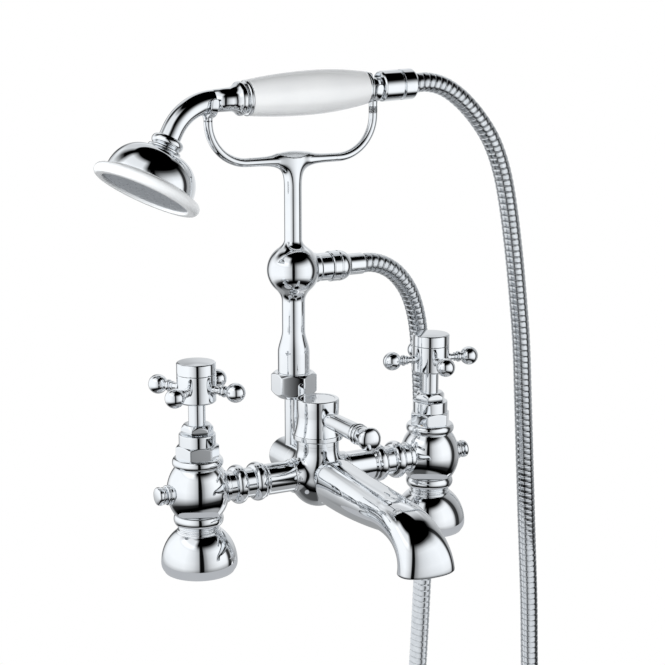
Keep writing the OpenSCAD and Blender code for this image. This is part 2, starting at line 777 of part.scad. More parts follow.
// Centre body: a round belly under a neck, with bosses for the spout, the riser and the bridge arms
module body() {
    outline = concat(
        [[0, belly_z - belly_h]], arc([0, belly_z], belly_r, belly_h, -88, 0, 30),
        [for (t = steps(20)) [mix(belly_r, body_neck_r, ease(t)), mix(belly_z, body_top_z - 6, t)]],
        [[body_neck_r, body_top_z], [0, body_top_z]]
    );
    spout_way = spool_bore_r + port_wall;
    bevel = 0.8;
    color(chrome) difference() {
        union() {
            lathe(outline);
            at_height(bridge_z) along_front() rod(boss_front_r, 0, spout_root - fit_gap);
            at_height(bridge_z) along_front() rod(nipple_r, 0, spout_root + nipple_len);
            at_height(bridge_z) along_back()
                lathe([
                    [0, 0], [stub_r, 0], [stub_r, stub_end - bevel], [stub_r - bevel, stub_end], [0, stub_end]
                ]);
            for (s = [0, 180]) rotate([0, 0, s]) at_height(bridge_z) along_x() lathe(concat(
                [[0, 4], [bridge_r + 3.2, 4]],
                [for (t = steps(8)) [mix(bridge_r + 3.2, bridge_r + 1, sin(90 * t)), mix(10.5, belly_r + 2.5, t)]],
                [[0, belly_r + 2.5]]
            ));
        }
        rod(spool_bore_r, spool_floor_z, body_top_z + cut);
        rod(gland_ring_r + fit_gap, gland_ring_z, body_top_z + cut);
        for (s = [0, 180]) rotate([0, 0, s]) at_height(bridge_z) along_x()
            rod(bridge_r + fit_gap, socket_in - fit_gap, leg_x);
        at_height(inlet_port_z) along_x() rod(port_r, -socket_in - cut, socket_in + cut);
        at_height(bridge_z) along_front()
            rod(nipple_r - nipple_wall, spout_way, spout_root + nipple_len + cut);
        at_height(port_z) along_front() rod(port_r, 0, spout_way + 1);
        at_height(bridge_z) along_back() rod(way_r, spout_way, stub_end - rear_plug_t);
        at_height(port_z) along_back() rod(port_r, 0, spout_way + 1);
        at_height(bridge_z) along_back() rod(rear_plug_r + fit_gap, stub_end - rear_plug_t, stub_end + cut);
        at_riser() rod(riser_r + fit_gap, bridge_z + 2, bridge_z + stub_r + cut);
    }
}
module rear_plug() {
    key_r = 4.6;
    key_d = 3;
    color(chrome) at_height(bridge_z) along_back() difference() {
        rod(rear_plug_r, stub_end - rear_plug_t, stub_end - rear_plug_in);
        at_height(stub_end - rear_plug_in - key_d) cylinder(r = key_r, h = key_d + cut, $fn = 6);
    }
}

// Spout: a station is [way out, height, half width, half height, tilt]
function spow(v, p) = sign(v) * pow(abs(v), p);
function section(s) = [
    for (i = [0:spout_n - 1])
    let (q = 360 * i / spout_n, h = s[3] * spow(sin(q), 2 / spout_power))
    [s[2] * spow(cos(q), 2 / spout_power), -s[0] - h * sin(s[4]), s[1] + h * cos(s[4])]
];
function shrink(s, w) = [s[0], s[1], s[2] - w, s[3] - w, s[4]];
function root_station(q) = [
    spout_root + root_len * (1 - cos(q)), bridge_z - spout_sag * sin(q),
    mix(root_half_w, spout_half_w, sin(q)), mix(root_half_h, spout_half_h, sin(q)), 0
];
spout_top_z = bridge_z - spout_sag + spout_half_h;
knee_top_z = bridge_z - spout_drop + bend_half_h;
function run_half_h(t) = mix(spout_half_h, bend_half_h, pow(t, 1.7));
function run_station(t) = [
    mix(spout_root + root_len, spout_knee, t), mix(spout_top_z, knee_top_z, t) - run_half_h(t),
    spout_half_w - 0.4 * t, run_half_h(t), 0
];
function bend_station(q) = [
    spout_knee + spout_bend * pow(sin(q), 0.92),
    mouth_z + (bridge_z - spout_drop - mouth_z) * pow(cos(q), 0.92),
    mix(spout_half_w - 0.4, mouth_half_w, pow(q / 90, 1.5)), bend_half_h, q
];
spout_stations = concat(
    [for (i = [0:5]) root_station(18 * i)], [for (i = [1:8]) run_station(i / 8)],
    [for (i = [1:16]) bend_station(90 * i / 16)]
);
// Two triangles between points j and j + 1 of ring o and of ring p, each of n points
function strip(o, p, n, j) =
    let (a = o + j, b = o + (j + 1) % n, c = p + j, d = p + (j + 1) % n)
    [[a, c, b], [b, c, d]];
function skin(o, m, n) = [for (i = [0:m - 2], j = [0:n - 1]) each strip(o + i * n, o + (i + 1) * n, n, j)];
function flip(faces) = [for (f = faces) [f[0], f[2], f[1]]];
function lid(o, p, n) = [for (j = [0:n - 1]) each strip(o, p, n, j)];
// A tube with rings of n points, outer_m of them outside and inner_m inside, closed at each end
module tube(outer, inner, n, outer_m, inner_m) {
    o = outer_m * n;
    faces = concat(
        skin(0, outer_m, n), flip(skin(o, inner_m, n)),
        flip(lid(0, o, n)), lid((outer_m - 1) * n, o + (inner_m - 1) * n, n)
    );
    polyhedron(points = concat(outer, inner), faces = faces);
}
module spout() {
    m = len(spout_stations);
    outer = [for (s = spout_stations) each section(s)];
    inner = [for (s = spout_stations) each section(shrink(s, spout_wall))];
    color(chrome) tube(outer, inner, spout_n, m, m);
}
module flow_straightener() {
    n = spout_n;
    high = shrink(bend_station(straightener_at), spout_wall + 0.25);
    low = shrink(bend_station(straightener_at + 6), spout_wall + 0.25);
    top_lid = [for (i = [1:n - 2]) [0, i, i + 1]];
    low_lid = [for (i = [1:n - 2]) [n, n + i + 1, n + i]];
    hole_r = mouth_half_w * 0.1;
    color(white) difference() {
        polyhedron(
            points = concat(section(high), section(low)),
            faces = concat(skin(0, 2, n), top_lid, low_lid)
        );
        for (i = [-2:2]) translate([i * hole_r * 2.9, -low[0], low[1]]) rod(hole_r, -10, 10, $fn = 16);
    }
}

// Diverter
module diverter_cap() {
    bell_z = divert_z + flange_h;
    color(chrome) difference() {
        lathe(concat(
            [[0, divert_z], [flange_r - 0.4, divert_z], [flange_r, divert_z + 0.5]],
            [[flange_r, bell_z - 0.5], [flange_r - 0.5, bell_z]],
            [for (t = steps(14))
                [mix(cap_r - 0.4, flange_r - 0.6, pow(1 - t, 1.9)), mix(bell_z, divert_z + 16.5, t)]],
            [[cap_r, divert_z + 22], [cap_r, divert_top_z - 0.7]],
            [[cap_r - 0.7, divert_top_z], [0, divert_top_z]]
        ));
        rod(gland_ring_r + clear_gap, divert_z - cut, gland_ring_z + gland_ring_h + clear_gap);
        rod(spool_stem_r + fit_gap, divert_z - cut, stem_top_z + fit_gap);
        at_height(lever_z) along_front() rod(lever_tail_r + fit_gap, lever_tail_in - 0.2, cap_r + cut);
        at_height(set_z) along_back() rod(set_r + fit_gap, 0, flange_r + cut);
    }
}
module diverter_lever() {
    root = cap_r + 0.2;
    neck = lever_reach - lever_ball_r - 10.5;
    groove_r = lever_r - 0.5;
    color(chrome) at_height(lever_z) along_front() union() {
        rod(lever_tail_r, lever_tail_in, cap_r + 4);
        lathe(concat(
            [[0, root]], arc([lever_r - 3.4, root + 6], 3.4, 6, -90, 0, 10),
            [[lever_r + edge, neck], [groove_r, neck + 0.7], [groove_r, neck + 1.6], [0, neck + 1.6]]
        ));
        rod(lever_r - 0.6, neck + 1, lever_reach);
        bead(lever_r - 1, lever_ball_r - 0.1, neck + 3.2, 3.4);
        bead(lever_r - 1, lever_ball_r - 0.5, neck + 6.8, 2.8);
        lathe([
            [0, neck + 6.8], [lever_r, neck + 6.8],
            [lever_ball_r - 0.25, lever_reach - 1.9], [0, lever_reach - 1.9]
        ]);
        lathe(concat(
            [[0, lever_reach - 2.2], [lever_ball_r - 0.4, lever_reach - 2.2]],
            arc([0, lever_reach], lever_ball_r, lever_dome_h, 0, 90, 16)
        ));
    }
}
module diverter_spool() {
    top = gland_ring_z - clear_gap;
    color(brass) difference() {
        union() {
            rod(spool_r, spool_z, top);
            rod(spool_stem_r, top - 1, stem_top_z);
        }
        rod(spool_r - spool_wall, spool_z - cut, port_z + port_r + 0.6);
        for (a = [-90, 90 - lever_travel]) rotate([0, 0, a]) at_height(port_z) along_x()
            rod(port_r, 0, spool_r + cut);
    }
}
module diverter_gland() {
    color(brass) ring(spool_stem_r + run_gap, gland_ring_r, gland_ring_z, gland_ring_z + gland_ring_h);
}
module diverter_screw() {
    out = cap_r - 1;
    key_r = 1.1;
    key_d = 2.2;
    color(steel) at_height(set_z) along_back() difference() {
        rod(set_r, spool_stem_r + fit_gap, out);
        at_height(out - key_d) cylinder(r = key_r, h = key_d + cut, $fn = 6);
    }
}

// Riser, union and column
module lower_riser() {
    color(chrome) at_riser() difference() {
        union() {
            rod(riser_r, bridge_z + 2 + fit_gap, pipe_top_z);
            rod(pipe_flange_r, pipe_top_z - pipe_flange_t, pipe_top_z);
        }
        rod(riser_r - riser_wall, bridge_z, pipe_top_z + cut);
    }
}
module union_nut() {
    far = hex_r(union_af) + fit_gap;
    color(chrome) at_riser() difference() {
        intersection() {
            hexagon(union_af, union_z, union_top_z, 48);
            lathe([
                [0, union_z], [union_af / 2 - 2.6, union_z], [far, union_z + 4.4],
                [far, union_top_z], [0, union_top_z]
            ]);
        }
        rod(riser_r + 0.25, union_z - cut, union_top_z + cut);
        rod(column_r + fit_gap, union_z + union_floor, union_top_z + cut);
    }
}
module union_washer() {
    color(rubber) at_riser() ring(riser_r - riser_wall, pipe_flange_r, pipe_top_z, column_z);
}
module column() {
    shaft = concat(
        [[0, column_z], [column_r, column_z]],
        [for (t = steps(16)) [mix(column_r, waist_r, ease(t)), mix(taper_z, taper_z + taper_h, t)]],
        flare(waist_r, join_low_r, join_low_z - join_low_h, join_low_z, 2.2, 14), [[0, join_low_z]]
    );
    collar = [
        for (t = steps(14)) [mix(stem_r, join_high_r, pow(1 - t, 2.2)), mix(join_high_z, column_top_z, t)]
    ];
    root_r = outlet_r + 0.6;
    outlet = [
        [0, 0], [root_r, 0], [root_r, sphere_r - 0.8], [outlet_r, sphere_r + 0.6],
        [outlet_r, outlet_x - 0.4], [outlet_r - 0.4, outlet_x], [0, outlet_x]
    ];
    thread_end = outlet_x + thread_len;
    color(chrome) at_riser() difference() {
        union() {
            lathe(shaft);
            at_height(sphere_z) sphere(r = sphere_r);
            lathe(concat([[0, join_high_z]], collar, [[0, column_top_z]]));
            at_height(sphere_z) along_x() lathe(outlet);
            at_height(sphere_z) along_x() rod(thread_r, 0, thread_end);
        }
        rod(column_bore_r, column_z - cut, sphere_z);
        at_height(sphere_z) along_x() rod(column_bore_r, 0, thread_end + cut);
        rod(stem_tail_r + fit_gap, column_top_z - stem_tail_len - 0.2, column_top_z + cut);
    }
}

// Cradle: stem, head and yoke in one casting
module yoke_corner(x, turn) {
    translate([x, 0, yoke_top_z]) rotate([90, 0, 0]) rotate([0, 0, turn])
        rotate_extrude(angle = 90) translate([yoke_bend, 0]) circle(r = yoke_r);
}
module cradle() {
    head_z0 = cradle_z - head_h_cradle;
    brow_z = cradle_z - 2.2;
    brow_r = stem_r + head_flare + 0.25;
    color(chrome) at_riser() union() {
        rod(stem_tail_r, column_top_z - stem_tail_len, column_top_z + 1);
        lathe(concat(
            [[0, column_top_z], [stem_r, column_top_z], [stem_r, head_z0 - 14], [stem_r + 0.15, head_z0 - 4]],
            flare(stem_r + 0.25, brow_r, head_z0, brow_z, 2.4, 12), arc([0, brow_z], brow_r, 7.2, 6, 90, 14)
        ));
        at_height(cradle_z) along_x() rod(yoke_r, yoke_bend - yoke_front, yoke_back - yoke_bend);
        yoke_corner(yoke_bend - yoke_front, 180);
        yoke_corner(yoke_back - yoke_bend, 270);
    }
}
// A fork round the local X axis, open upward, with its two prongs' heights over that axis
module prong(y, w, h) {
    round_z = h - w / 2;
    translate([-w / 2, y, -2]) cube([w, fork_wall, 2 + max(fit_gap, round_z)]);
    translate([0, y, round_z]) along_back() rod(w / 2, 0, fork_wall);
}
module fork(r, w, front_h, back_h) {
    out = r + fork_wall;
    difference() {
        along_x() rod(out, -w / 2, w / 2);
        translate([-w, -out - cut, 0]) cube([2 * w, 2 * (out + cut), out + cut]);
    }
    prong(-out, w, front_h);
    prong(r, w, back_h);
}
// A fork at x, leaning with the handset there, on the yoke's arm at post_x
module fork_on_yoke(x, z, lean, post_x, r, w, front_h, back_h) {
    color(chrome) at_riser() difference() {
        union() {
            translate([x, 0, z]) rotate([0, -lean, 0]) fork(r, w, front_h, back_h);
            translate([post_x, 0, 0]) rod(yoke_r, yoke_top_z, z - r - 1);
        }
        translate([x, 0, z]) rotate([0, -lean, 0]) along_x() rod(r, -2 * w, 2 * w);
    }
}
function axis_z(x) = handset_z + x * tan(handset_tilt);
module left_fork() {
    fork_on_yoke(fork_front_x, axis_z(fork_front_x) - swan_drop, swan_lean + handset_tilt, -yoke_front,
        fork_front_r, fork_front_w, prong_low, prong_low);
}
module right_fork() {
    fork_on_yoke(fork_back_x, axis_z(fork_back_x), handset_tilt, yoke_back,
        fork_back_r, fork_back_w, prong_low, prong_tall);
}

// Lower end of the hose
module hose_nut_low() {
    groove = nut_low_x + nut_shoulder;
    groove_r = nut_r - 0.7;
    color(chrome) at_outlet() difference() {
        lathe(concat(
            [[0, nut_low_x], [nut_r - 0.5, nut_low_x], [nut_r, nut_low_x + 0.6], [nut_r, groove - 0.9]],
            [[groove_r, groove - 0.3], [groove_r, groove + 0.3], [nut_r - 0.05, groove + 0.9]],
            arc([nut_r - 4, nut_low_end - 5.2], 4, 5, 0, 88, 12), [[0, nut_low_end - 0.2]]
        ));
        rod(thread_r + fit_gap, nut_low_x - cut, outlet_x + thread_len + washer_t + flange_t + 0.3);
        rod(hose_r + fit_gap, nut_low_x, nut_low_end + cut);
    }
}
module hose_washer_low() {
    face = outlet_x + thread_len;
    color(rubber) at_outlet() ring(column_bore_r, thread_r - 0.2, face + fit_gap, face + washer_t);
}
// A sleeve crimped over the hose, with a flange inside the nut and a nipple inside the bore
module hose_ferrule_low() {
    face = outlet_x + thread_len + washer_t + fit_gap;
    start = nut_low_end - fit_gap;
    end = nut_low_end + grip_len - fit_gap;
    color(chrome) at_outlet() difference() {
        union() {
            rod(thread_r - 0.1, face, face + flange_t);
            rod(hose_r, face + 1, nut_low_end);
            lathe([[0, start], [ferrule_r, start], [ferrule_r, end - 0.8], [ferrule_r - 0.6, end], [0, end]]);
        }
        rod(hose_way_r, face - cut, end + cut);
        ring(nipple_hose_r, hose_r + hose_slack, nut_low_end, end + cut);
        rod(hose_bore_r, end - 2, end + cut);
    }
}

// Hose: a smooth line through the route's points, then rings of 8 sides, two for each rib
hose_sides = 8;
line_steps = 12;
bore_rings = 61;
function spline(p0, p1, p2, p3, t) =
    let (square = 2 * p0 - 5 * p1 + 4 * p2 - p3, cube = 3 * p1 - p0 - 3 * p2 + p3)
    0.5 * (2 * p1 + (p2 - p0) * t + square * t * t + cube * t * t * t);
last = len(route) - 1;
hose_line = concat(
    [for (i = [0:last - 1], k = [0:line_steps - 1])
        spline(route[max(0, i - 1)], route[i], route[i + 1], route[min(last, i + 2)], k / line_steps)],
    [route[last]]
);
function sums(p, i = 1, s = 0, out = [0]) =
    i >= len(p) ? out : let (t = s + norm(p[i] - p[i - 1])) sums(p, i + 1, t, concat(out, [t]));
line_sums = sums(hose_line);
hose_length = line_sums[len(line_sums) - 1];
along = [for (k = [0:2]) [for (i = [0:len(hose_line) - 1]) [line_sums[i], hose_line[i][k]]]];
function at_length(s) = [for (k = [0:2]) lookup(s, along[k])];
function hose_ring(s, r) =
    let (
        c = at_length(s),
        t = unit(at_length(min(hose_length, s + 2)) - at_length(max(0, s - 2))),
        a = unit(cross(t, [0, 1, 0])),
        b = cross(t, a)
    )
    [for (j = [0:hose_sides - 1]) let (q = 360 * j / hose_sides) c + r * (a * cos(q) + b * sin(q))];
rib_pitch = hose_length / rib_count;
function rib_place(i, k) =
    i == 0 && k == 0 ? 0 : i == rib_count - 1 && k == 1 ? hose_length : (i + 0.25 + 0.5 * k) * rib_pitch;
hose_outer = [
    for (i = [0:rib_count - 1], k = [0, 1]) each hose_ring(rib_place(i, k), hose_r - rib_depth * k)
];
hose_inner = [for (i = [0:bore_rings - 1]) each hose_ring(hose_length * i / (bore_rings - 1), hose_bore_r)];
gap_points = [for (i = [0:80]) at_length(hose_length * i / 80)];
point_gaps = [for (i = [0:80], j = [0:80]) if (j - i > 4) norm(gap_points[i] - gap_points[j])];
hose_gap = min(point_gaps) - 2 * hose_r;
echo(hose_length = hose_length, least_gap = hose_gap);
module shower_hose() { color(steel) tube(hose_outer, hose_inner, hose_sides, 2 * rib_count, bore_rings); }

// Upper end of the hose
module hose_nut_top() {
    line = nut_top_u + nut_line;
    line_r = nut_r - 0.5;
    color(chrome) in_handset() along_x() difference() {
        lathe([
            [0, nut_top_u], [nut_r - 1, nut_top_u], [nut_r, nut_top_u + 1],
            [nut_r, line - 0.5], [line_r, line - 0.4], [line_r, line + 0.4], [nut_r, line + 0.5],
            [nut_r, nut_top_end - 2], [nut_r - 1.6, nut_top_end], [0, nut_top_end]
        ]);
        rod(thread_r + fit_gap, nut_top_u - cut, nut_top_u + thread_len + washer_t + flange_t + 0.7);
        rod(hose_r + hose_slack, nut_top_u, nut_top_end + cut);
    }
}
module hose_washer_top() {
    face = nut_top_u + thread_len + 0.2;
    color(rubber) in_handset() along_x() ring(core_bore_r, thread_r - 0.2, face + fit_gap, face + washer_t);
}
module hose_ferrule_top() {
    face = nut_top_u + thread_len + washer_t + 0.3;
    end = nut_top_end - grip_len - fit_gap;
    color(steel) in_handset() along_x() difference() {
        union() {
            rod(thread_r - 0.1, face, face + flange_t);
            rod(hose_r, face + 1, end);
            rod(nipple_hose_r, end - 1, nut_top_end - 2);
        }
        rod(hose_way_r, face - cut, nut_top_end + cut);
    }
}

// Handset
module handset_core() {
    shoulder = nut_top_u + 0.2;
    color(chrome) in_handset() along_x() difference() {
        union() {
            rod(core_r, core_front, shoulder);
            rod(thread_r, shoulder, shoulder + thread_len);
        }
        rod(core_bore_r, core_front - cut, shoulder + thread_len + cut);
    }
}
module swan_bend_of(r) {
    translate([-swan_start, 0, -swan_bend]) rotate([90, 0, 0]) rotate([0, 0, 90])
        rotate_extrude(angle = swan_angle) translate([swan_bend, 0]) circle(r = r);
}
// The straight ends lap over the bend and stand a hair proud of it
module handset_arm() {
    lap = 0.5;
    proud = 0.05;
    back = collar_back;
    lip_r = grip_collar_r - 1.1;
    collar = concat(
        [[0, -swan_start - lap], [swan_r + proud, -swan_start - lap], [swan_r + proud, -swan_start + 4]],
        flare(swan_r, grip_collar_r - 1, back - collar_flare, back - 5.2, 2.2, 14),
        arc([grip_collar_r - 1.6, back - 2.9], 1.6, 2.4, -60, 84, 12),
        [[lip_r, back - 0.3], [lip_r, back], [0, back]]
    );
    color(chrome) difference() {
        union() {
            in_handset() along_x() lathe(collar);
            in_handset() swan_bend_of(swan_r);
            in_rose() rod(swan_r + proud, -swan_end - lap, 0);
        }
        in_handset() along_x() rod(core_r + fit_gap, core_front - fit_gap, back + cut);
        in_handset() along_x() rod(swan_bore_r + proud, -swan_start - lap, core_front);
        in_handset() swan_bend_of(swan_bore_r);
        in_rose() rod(swan_bore_r + proud, -swan_end - lap, cut);
    }
}
module grip_ring_front() {
    end = collar_back + ring_front_t;
    color(chrome) in_handset() along_x() difference() {
        lathe(concat(
            [[0, collar_back]], arc([grip_collar_r - 1.4, collar_back + 1.3], 1.4, 1.2, -80, 60, 10),
            [[grip_front_r - 0.2, end - 0.9], [grip_front_r, end - 0.5], [grip_front_r, end], [0, end]]
        ));
        rod(core_r + fit_gap, collar_back - cut, end + cut);
    }
}
module grip_ring_back() {
    end = grip_back + ring_back_t;
    seat_r = grip_back_r - 0.5;
    color(chrome) in_handset() along_x() difference() {
        lathe(concat(
            [[0, grip_back], [seat_r, grip_back], [seat_r, grip_back + 0.8]],
            arc([grip_back_r - 2, grip_back + 2.1], 1.7, 1.4, -50, 85, 10), [[0, end]]
        ));
        rod(core_r + fit_gap, grip_back - cut, end + cut);
    }
}
module grip() {
    end = grip_back - fit_gap / 2;
    // The radius falls as the square of the distance from the peak
    front = [for (t = steps(18)) [mix(grip_r, grip_front_r, pow(1 - t, 2)), mix(-grip_front, grip_peak, t)]];
    back = [for (t = steps(20)) if (t > 0) [mix(grip_r, grip_back_r, t * t), mix(grip_peak, end, t)]];
    color(white) in_handset() along_x() difference() {
        lathe(concat([[0, -grip_front]], front, back, [[0, end]]));
        rod(core_r + fit_gap, -grip_front - cut, end + cut);
    }
}

// Rose
module rose_nut() {
    low = -1.6;
    color(chrome) in_rose() difference() {
        lathe(concat(
            [[0, low], [rose_nut_r - 2.6, low]], arc([rose_nut_r - 3.2, 0.9], 2.2, 2.4, -72, 72, 12),
            arc([rose_nut_r - 1, 4.8], 1, 0.9, -90, 90, 10), [[rose_nut_r - 1.6, bell_v - 0.2], [0, bell_v - 0.2]]
        ));
        rod(swan_r + 0.15, low - cut, tail_v - 0.6);
        rod(swan_r + 0.6, tail_v - 0.6, bell_v);
    }
}
module rose_washer() { color(rubber) in_rose() ring(swan_bore_r, swan_r - 0.1, fit_gap, rose_washer_t); }
module rose_bell() {
    inner_r = bell_r - bell_wall;
    inner_top_r = bell_top_r - 1;
    outside = arc([bell_top_r, rim_v], bell_r - bell_top_r, -bell_h, 90, 0, 22);
    inside = arc([inner_top_r, rim_v], inner_r - inner_top_r, bell_wall - bell_h, 0, 90, 22);
    color(chrome) in_rose() difference() {
        union() {
            rod(swan_r + 0.5, tail_v, bell_v + 2);
            lathe(concat([[0, bell_v]], outside, [[0, rim_v]]));
        }
        lathe(concat([[0, rim_v + cut], [inner_r, rim_v + cut]], inside, [[0, bell_v + bell_wall]]));
        rod(swan_bore_r - 0.1, tail_v - cut, bell_v + 6);
    }
}
module rose_rim() {
    low = rim_v + fit_gap / 2;
    end = rim_v + rim_h;
    color(white) in_rose() difference() {
        lathe(concat(
            [[0, low], [bell_r + 0.3, low], [bell_r + 0.5, low + 0.3]],
            arc([rim_r - 3.4, end - 3.6], 3.4, 3.6, -72, 90, 20), [[0, end]]
        ));
        rod(plate_r - plate_ledge, low - cut, end + cut);
        rod(plate_r + 0.15, plate_v, end + cut);
    }
}
module rose_plate() {
    low = plate_v - cut;
    step = (plate_r - spray_edge) / spray_rings;
    color(grey) in_rose() difference() {
        rod(plate_r, plate_v, plate_v + plate_t);
        rod(spray_r, low, plate_v + plate_t + cut, $fn = 24);
        for (k = [1:spray_rings], j = [0:6 * k - 1])
            rotate([0, 0, 60 / k * j + 13 * k]) translate([k * step, 0, 0])
                rod(spray_r, low, plate_v + plate_t + cut, $fn = 24);
    }
}

left_leg();
right_leg();
plugs();
plug_washers();
left_headgear();
right_headgear();
glands();
left_spindle();
right_spindle();
left_hub();
right_hub();
left_arms();
right_arms();
left_cap();
right_cap();
left_screw();
right_screw();
left_disc();
right_disc();
fixed_discs();
seat_seals();
left_bridge();
right_bridge();
bridge_seals();
body();
rear_plug();
spout();
flow_straightener();
diverter_cap();
diverter_lever();
diverter_spool();
diverter_gland();
diverter_screw();
lower_riser();
union_nut();
union_washer();
column();
cradle();
left_fork();
right_fork();
hose_nut_low();
hose_washer_low();
hose_ferrule_low();
shower_hose();
hose_nut_top();
hose_washer_top();
hose_ferrule_top();
handset_core();
handset_arm();
grip_ring_front();
grip_ring_back();
grip();
rose_nut();
rose_washer();
rose_bell();
rose_rim();
rose_plate();
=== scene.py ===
"""Bath shower mixer with a cradle handset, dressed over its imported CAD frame.

The classes hold their sizes in millimetres, in the part's own frame: the deck is z = 0, the spout points
to -Y and the cold leg stands at +X. Surfaces become metres only where a mesh is made.
"""

from __future__ import annotations

import json
import logging
import math
from dataclasses import dataclass, field
from enum import Enum
from typing import Any, Callable, Sequence

import bpy
import numpy as np
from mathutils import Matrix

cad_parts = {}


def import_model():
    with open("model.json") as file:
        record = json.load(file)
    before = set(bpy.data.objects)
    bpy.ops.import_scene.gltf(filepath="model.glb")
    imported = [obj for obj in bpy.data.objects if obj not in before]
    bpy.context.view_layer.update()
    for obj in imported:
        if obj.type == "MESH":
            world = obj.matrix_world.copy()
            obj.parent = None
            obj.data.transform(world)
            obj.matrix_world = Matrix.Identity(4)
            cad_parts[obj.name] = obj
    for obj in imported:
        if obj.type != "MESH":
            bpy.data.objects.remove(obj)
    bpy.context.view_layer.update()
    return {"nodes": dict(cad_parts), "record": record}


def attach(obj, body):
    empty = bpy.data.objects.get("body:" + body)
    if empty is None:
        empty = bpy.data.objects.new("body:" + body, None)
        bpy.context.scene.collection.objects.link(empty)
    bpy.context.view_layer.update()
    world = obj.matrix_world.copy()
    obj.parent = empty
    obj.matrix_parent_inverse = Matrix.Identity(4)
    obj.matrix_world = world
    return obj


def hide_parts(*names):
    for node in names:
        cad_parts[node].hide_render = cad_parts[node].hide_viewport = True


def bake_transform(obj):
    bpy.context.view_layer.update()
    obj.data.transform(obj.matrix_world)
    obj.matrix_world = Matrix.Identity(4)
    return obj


Array = np.ndarray
Stops = tuple[tuple[float, float], ...]
Field = Callable[[Array], Array]
MM = 0.001
# Rise of a nut's chamfer for each millimetre of its depth
NUT_SLOPE = 0.62
# Powers of the means that round a hexagon's corners, and the edges where its flats meet the turned shape
CORNER_POWER = 90
EDGE_POWER = 70
LOG = logging.getLogger("mixer")


class Slot(Enum):
    """The record's material slots."""

    CHROME = "chrome_plate"
    HOSE = "hose_steel"
    PORCELAIN = "white_porcelain"
    RIM = "white_rim"
    PLATE = "grey_plate"
    DISC = "disc_ceramic"
    RUBBER = "rubber"
    BRASS = "brass"
    SCREW = "screw_steel"
    FLOW = "flow_plastic"


class Body(Enum):
    """The CAD bodies that pieces ride on."""

    ROOT = "root"
    HOT = "hot_handle"
    COLD = "cold_handle"
    DIVERTER = "diverter"
    HANDSET = "handset"


class Axis(Enum):
    """The axes that a shape is turned about."""

    X = 0
    Y = 1
    Z = 2


# Numbers and profiles


def linear(colour: str) -> tuple[float, float, float, float]:
    """Turns an sRGB hex colour to linear light.

    Args:
        colour: Six hex digits after a hash sign.

    Returns:
        Red, green, blue and an alpha of one.
    """
    part = np.array([int(colour[i : i + 2], 16) / 255 for i in (1, 3, 5)])
    light = np.where(part <= 0.04045, part / 12.92, ((part + 0.055) / 1.055) ** 2.4)
    return (float(light[0]), float(light[1]), float(light[2]), 1.0)


def mix(a: Any, b: Any, t: Any) -> Any:
    """Goes from a to b in a straight line as t goes from 0 to 1."""
    return a + (b - a) * t


def ease(t: Array) -> Array:
    """Goes from 0 to 1 on half a cosine wave."""
    return 0.5 - 0.5 * np.cos(np.pi * t)


def points(*pairs: tuple[float, float]) -> Array:
    """Puts (radius, height) pairs in one array."""
    return np.array(pairs, float)


def rod(radius: float, low: float, high: float) -> Array:
    """Gives the profile of a plain round bar."""
    return points((0, low), (radius, low), (radius, high), (0, high))


def squared(sides: int, power: float) -> tuple[Array, Array]:
    """Samples a squared circle: a cosine and a sine, each raised to 2 / power with its sign kept.

    Args:
        sides: Points round it.
        power: Squareness, with 2 for a circle.

    Returns:
        Its two coordinates.
    """
    q = np.linspace(0, 2 * np.pi, sides, endpoint=False)
    c, s = np.cos(q), np.sin(q)
    return np.sign(c) * np.abs(c) ** (2 / power), np.sign(s) * np.abs(s) ** (2 / power)


def arc(
    centre: tuple[float, float], rx: float, ry: float, start: float, stop: float, count: int = 24
) -> Array:
    """Samples an ellipse's arc: centre + (rx cos a, ry sin a) for angles from start to stop.

    Args:
        centre: Radius and height of the ellipse's centre.
        rx: Half size along the radius.
        ry: Half size along the height.
        start: First angle in degrees.
        stop: Last angle in degrees.
        count: Number of points.

    Returns:
        Points of a profile.
    """
    a = np.radians(np.linspace(start, stop, count))
    return np.stack([centre[0] + rx * np.cos(a), centre[1] + ry * np.sin(a)], 1)


def flare(r0: float, r1: float, z0: float, z1: float, power: float, count: int = 24) -> Array:
    """Samples a curve whose radius goes from r0 to r1 as a power of the way from z0 to z1.

    Args:
        r0: First radius.
        r1: Last radius.
        z0: First height.
        z1: Last height.
        power: Power of the way along.
        count: Number of points.

    Returns:
        Points of a profile.
    """
    t = np.linspace(0, 1, count)
    return np.stack([mix(r0, r1, t**power), mix(z0, z1, t)], 1)


def bead(core: float, radius: float, z: float, height: float, count: int = 28) -> Array:
    """Samples a round bead: half an ellipse that stands out from a core radius at height z."""
    return arc((core, z), radius - core, height / 2, -90, 90, count)


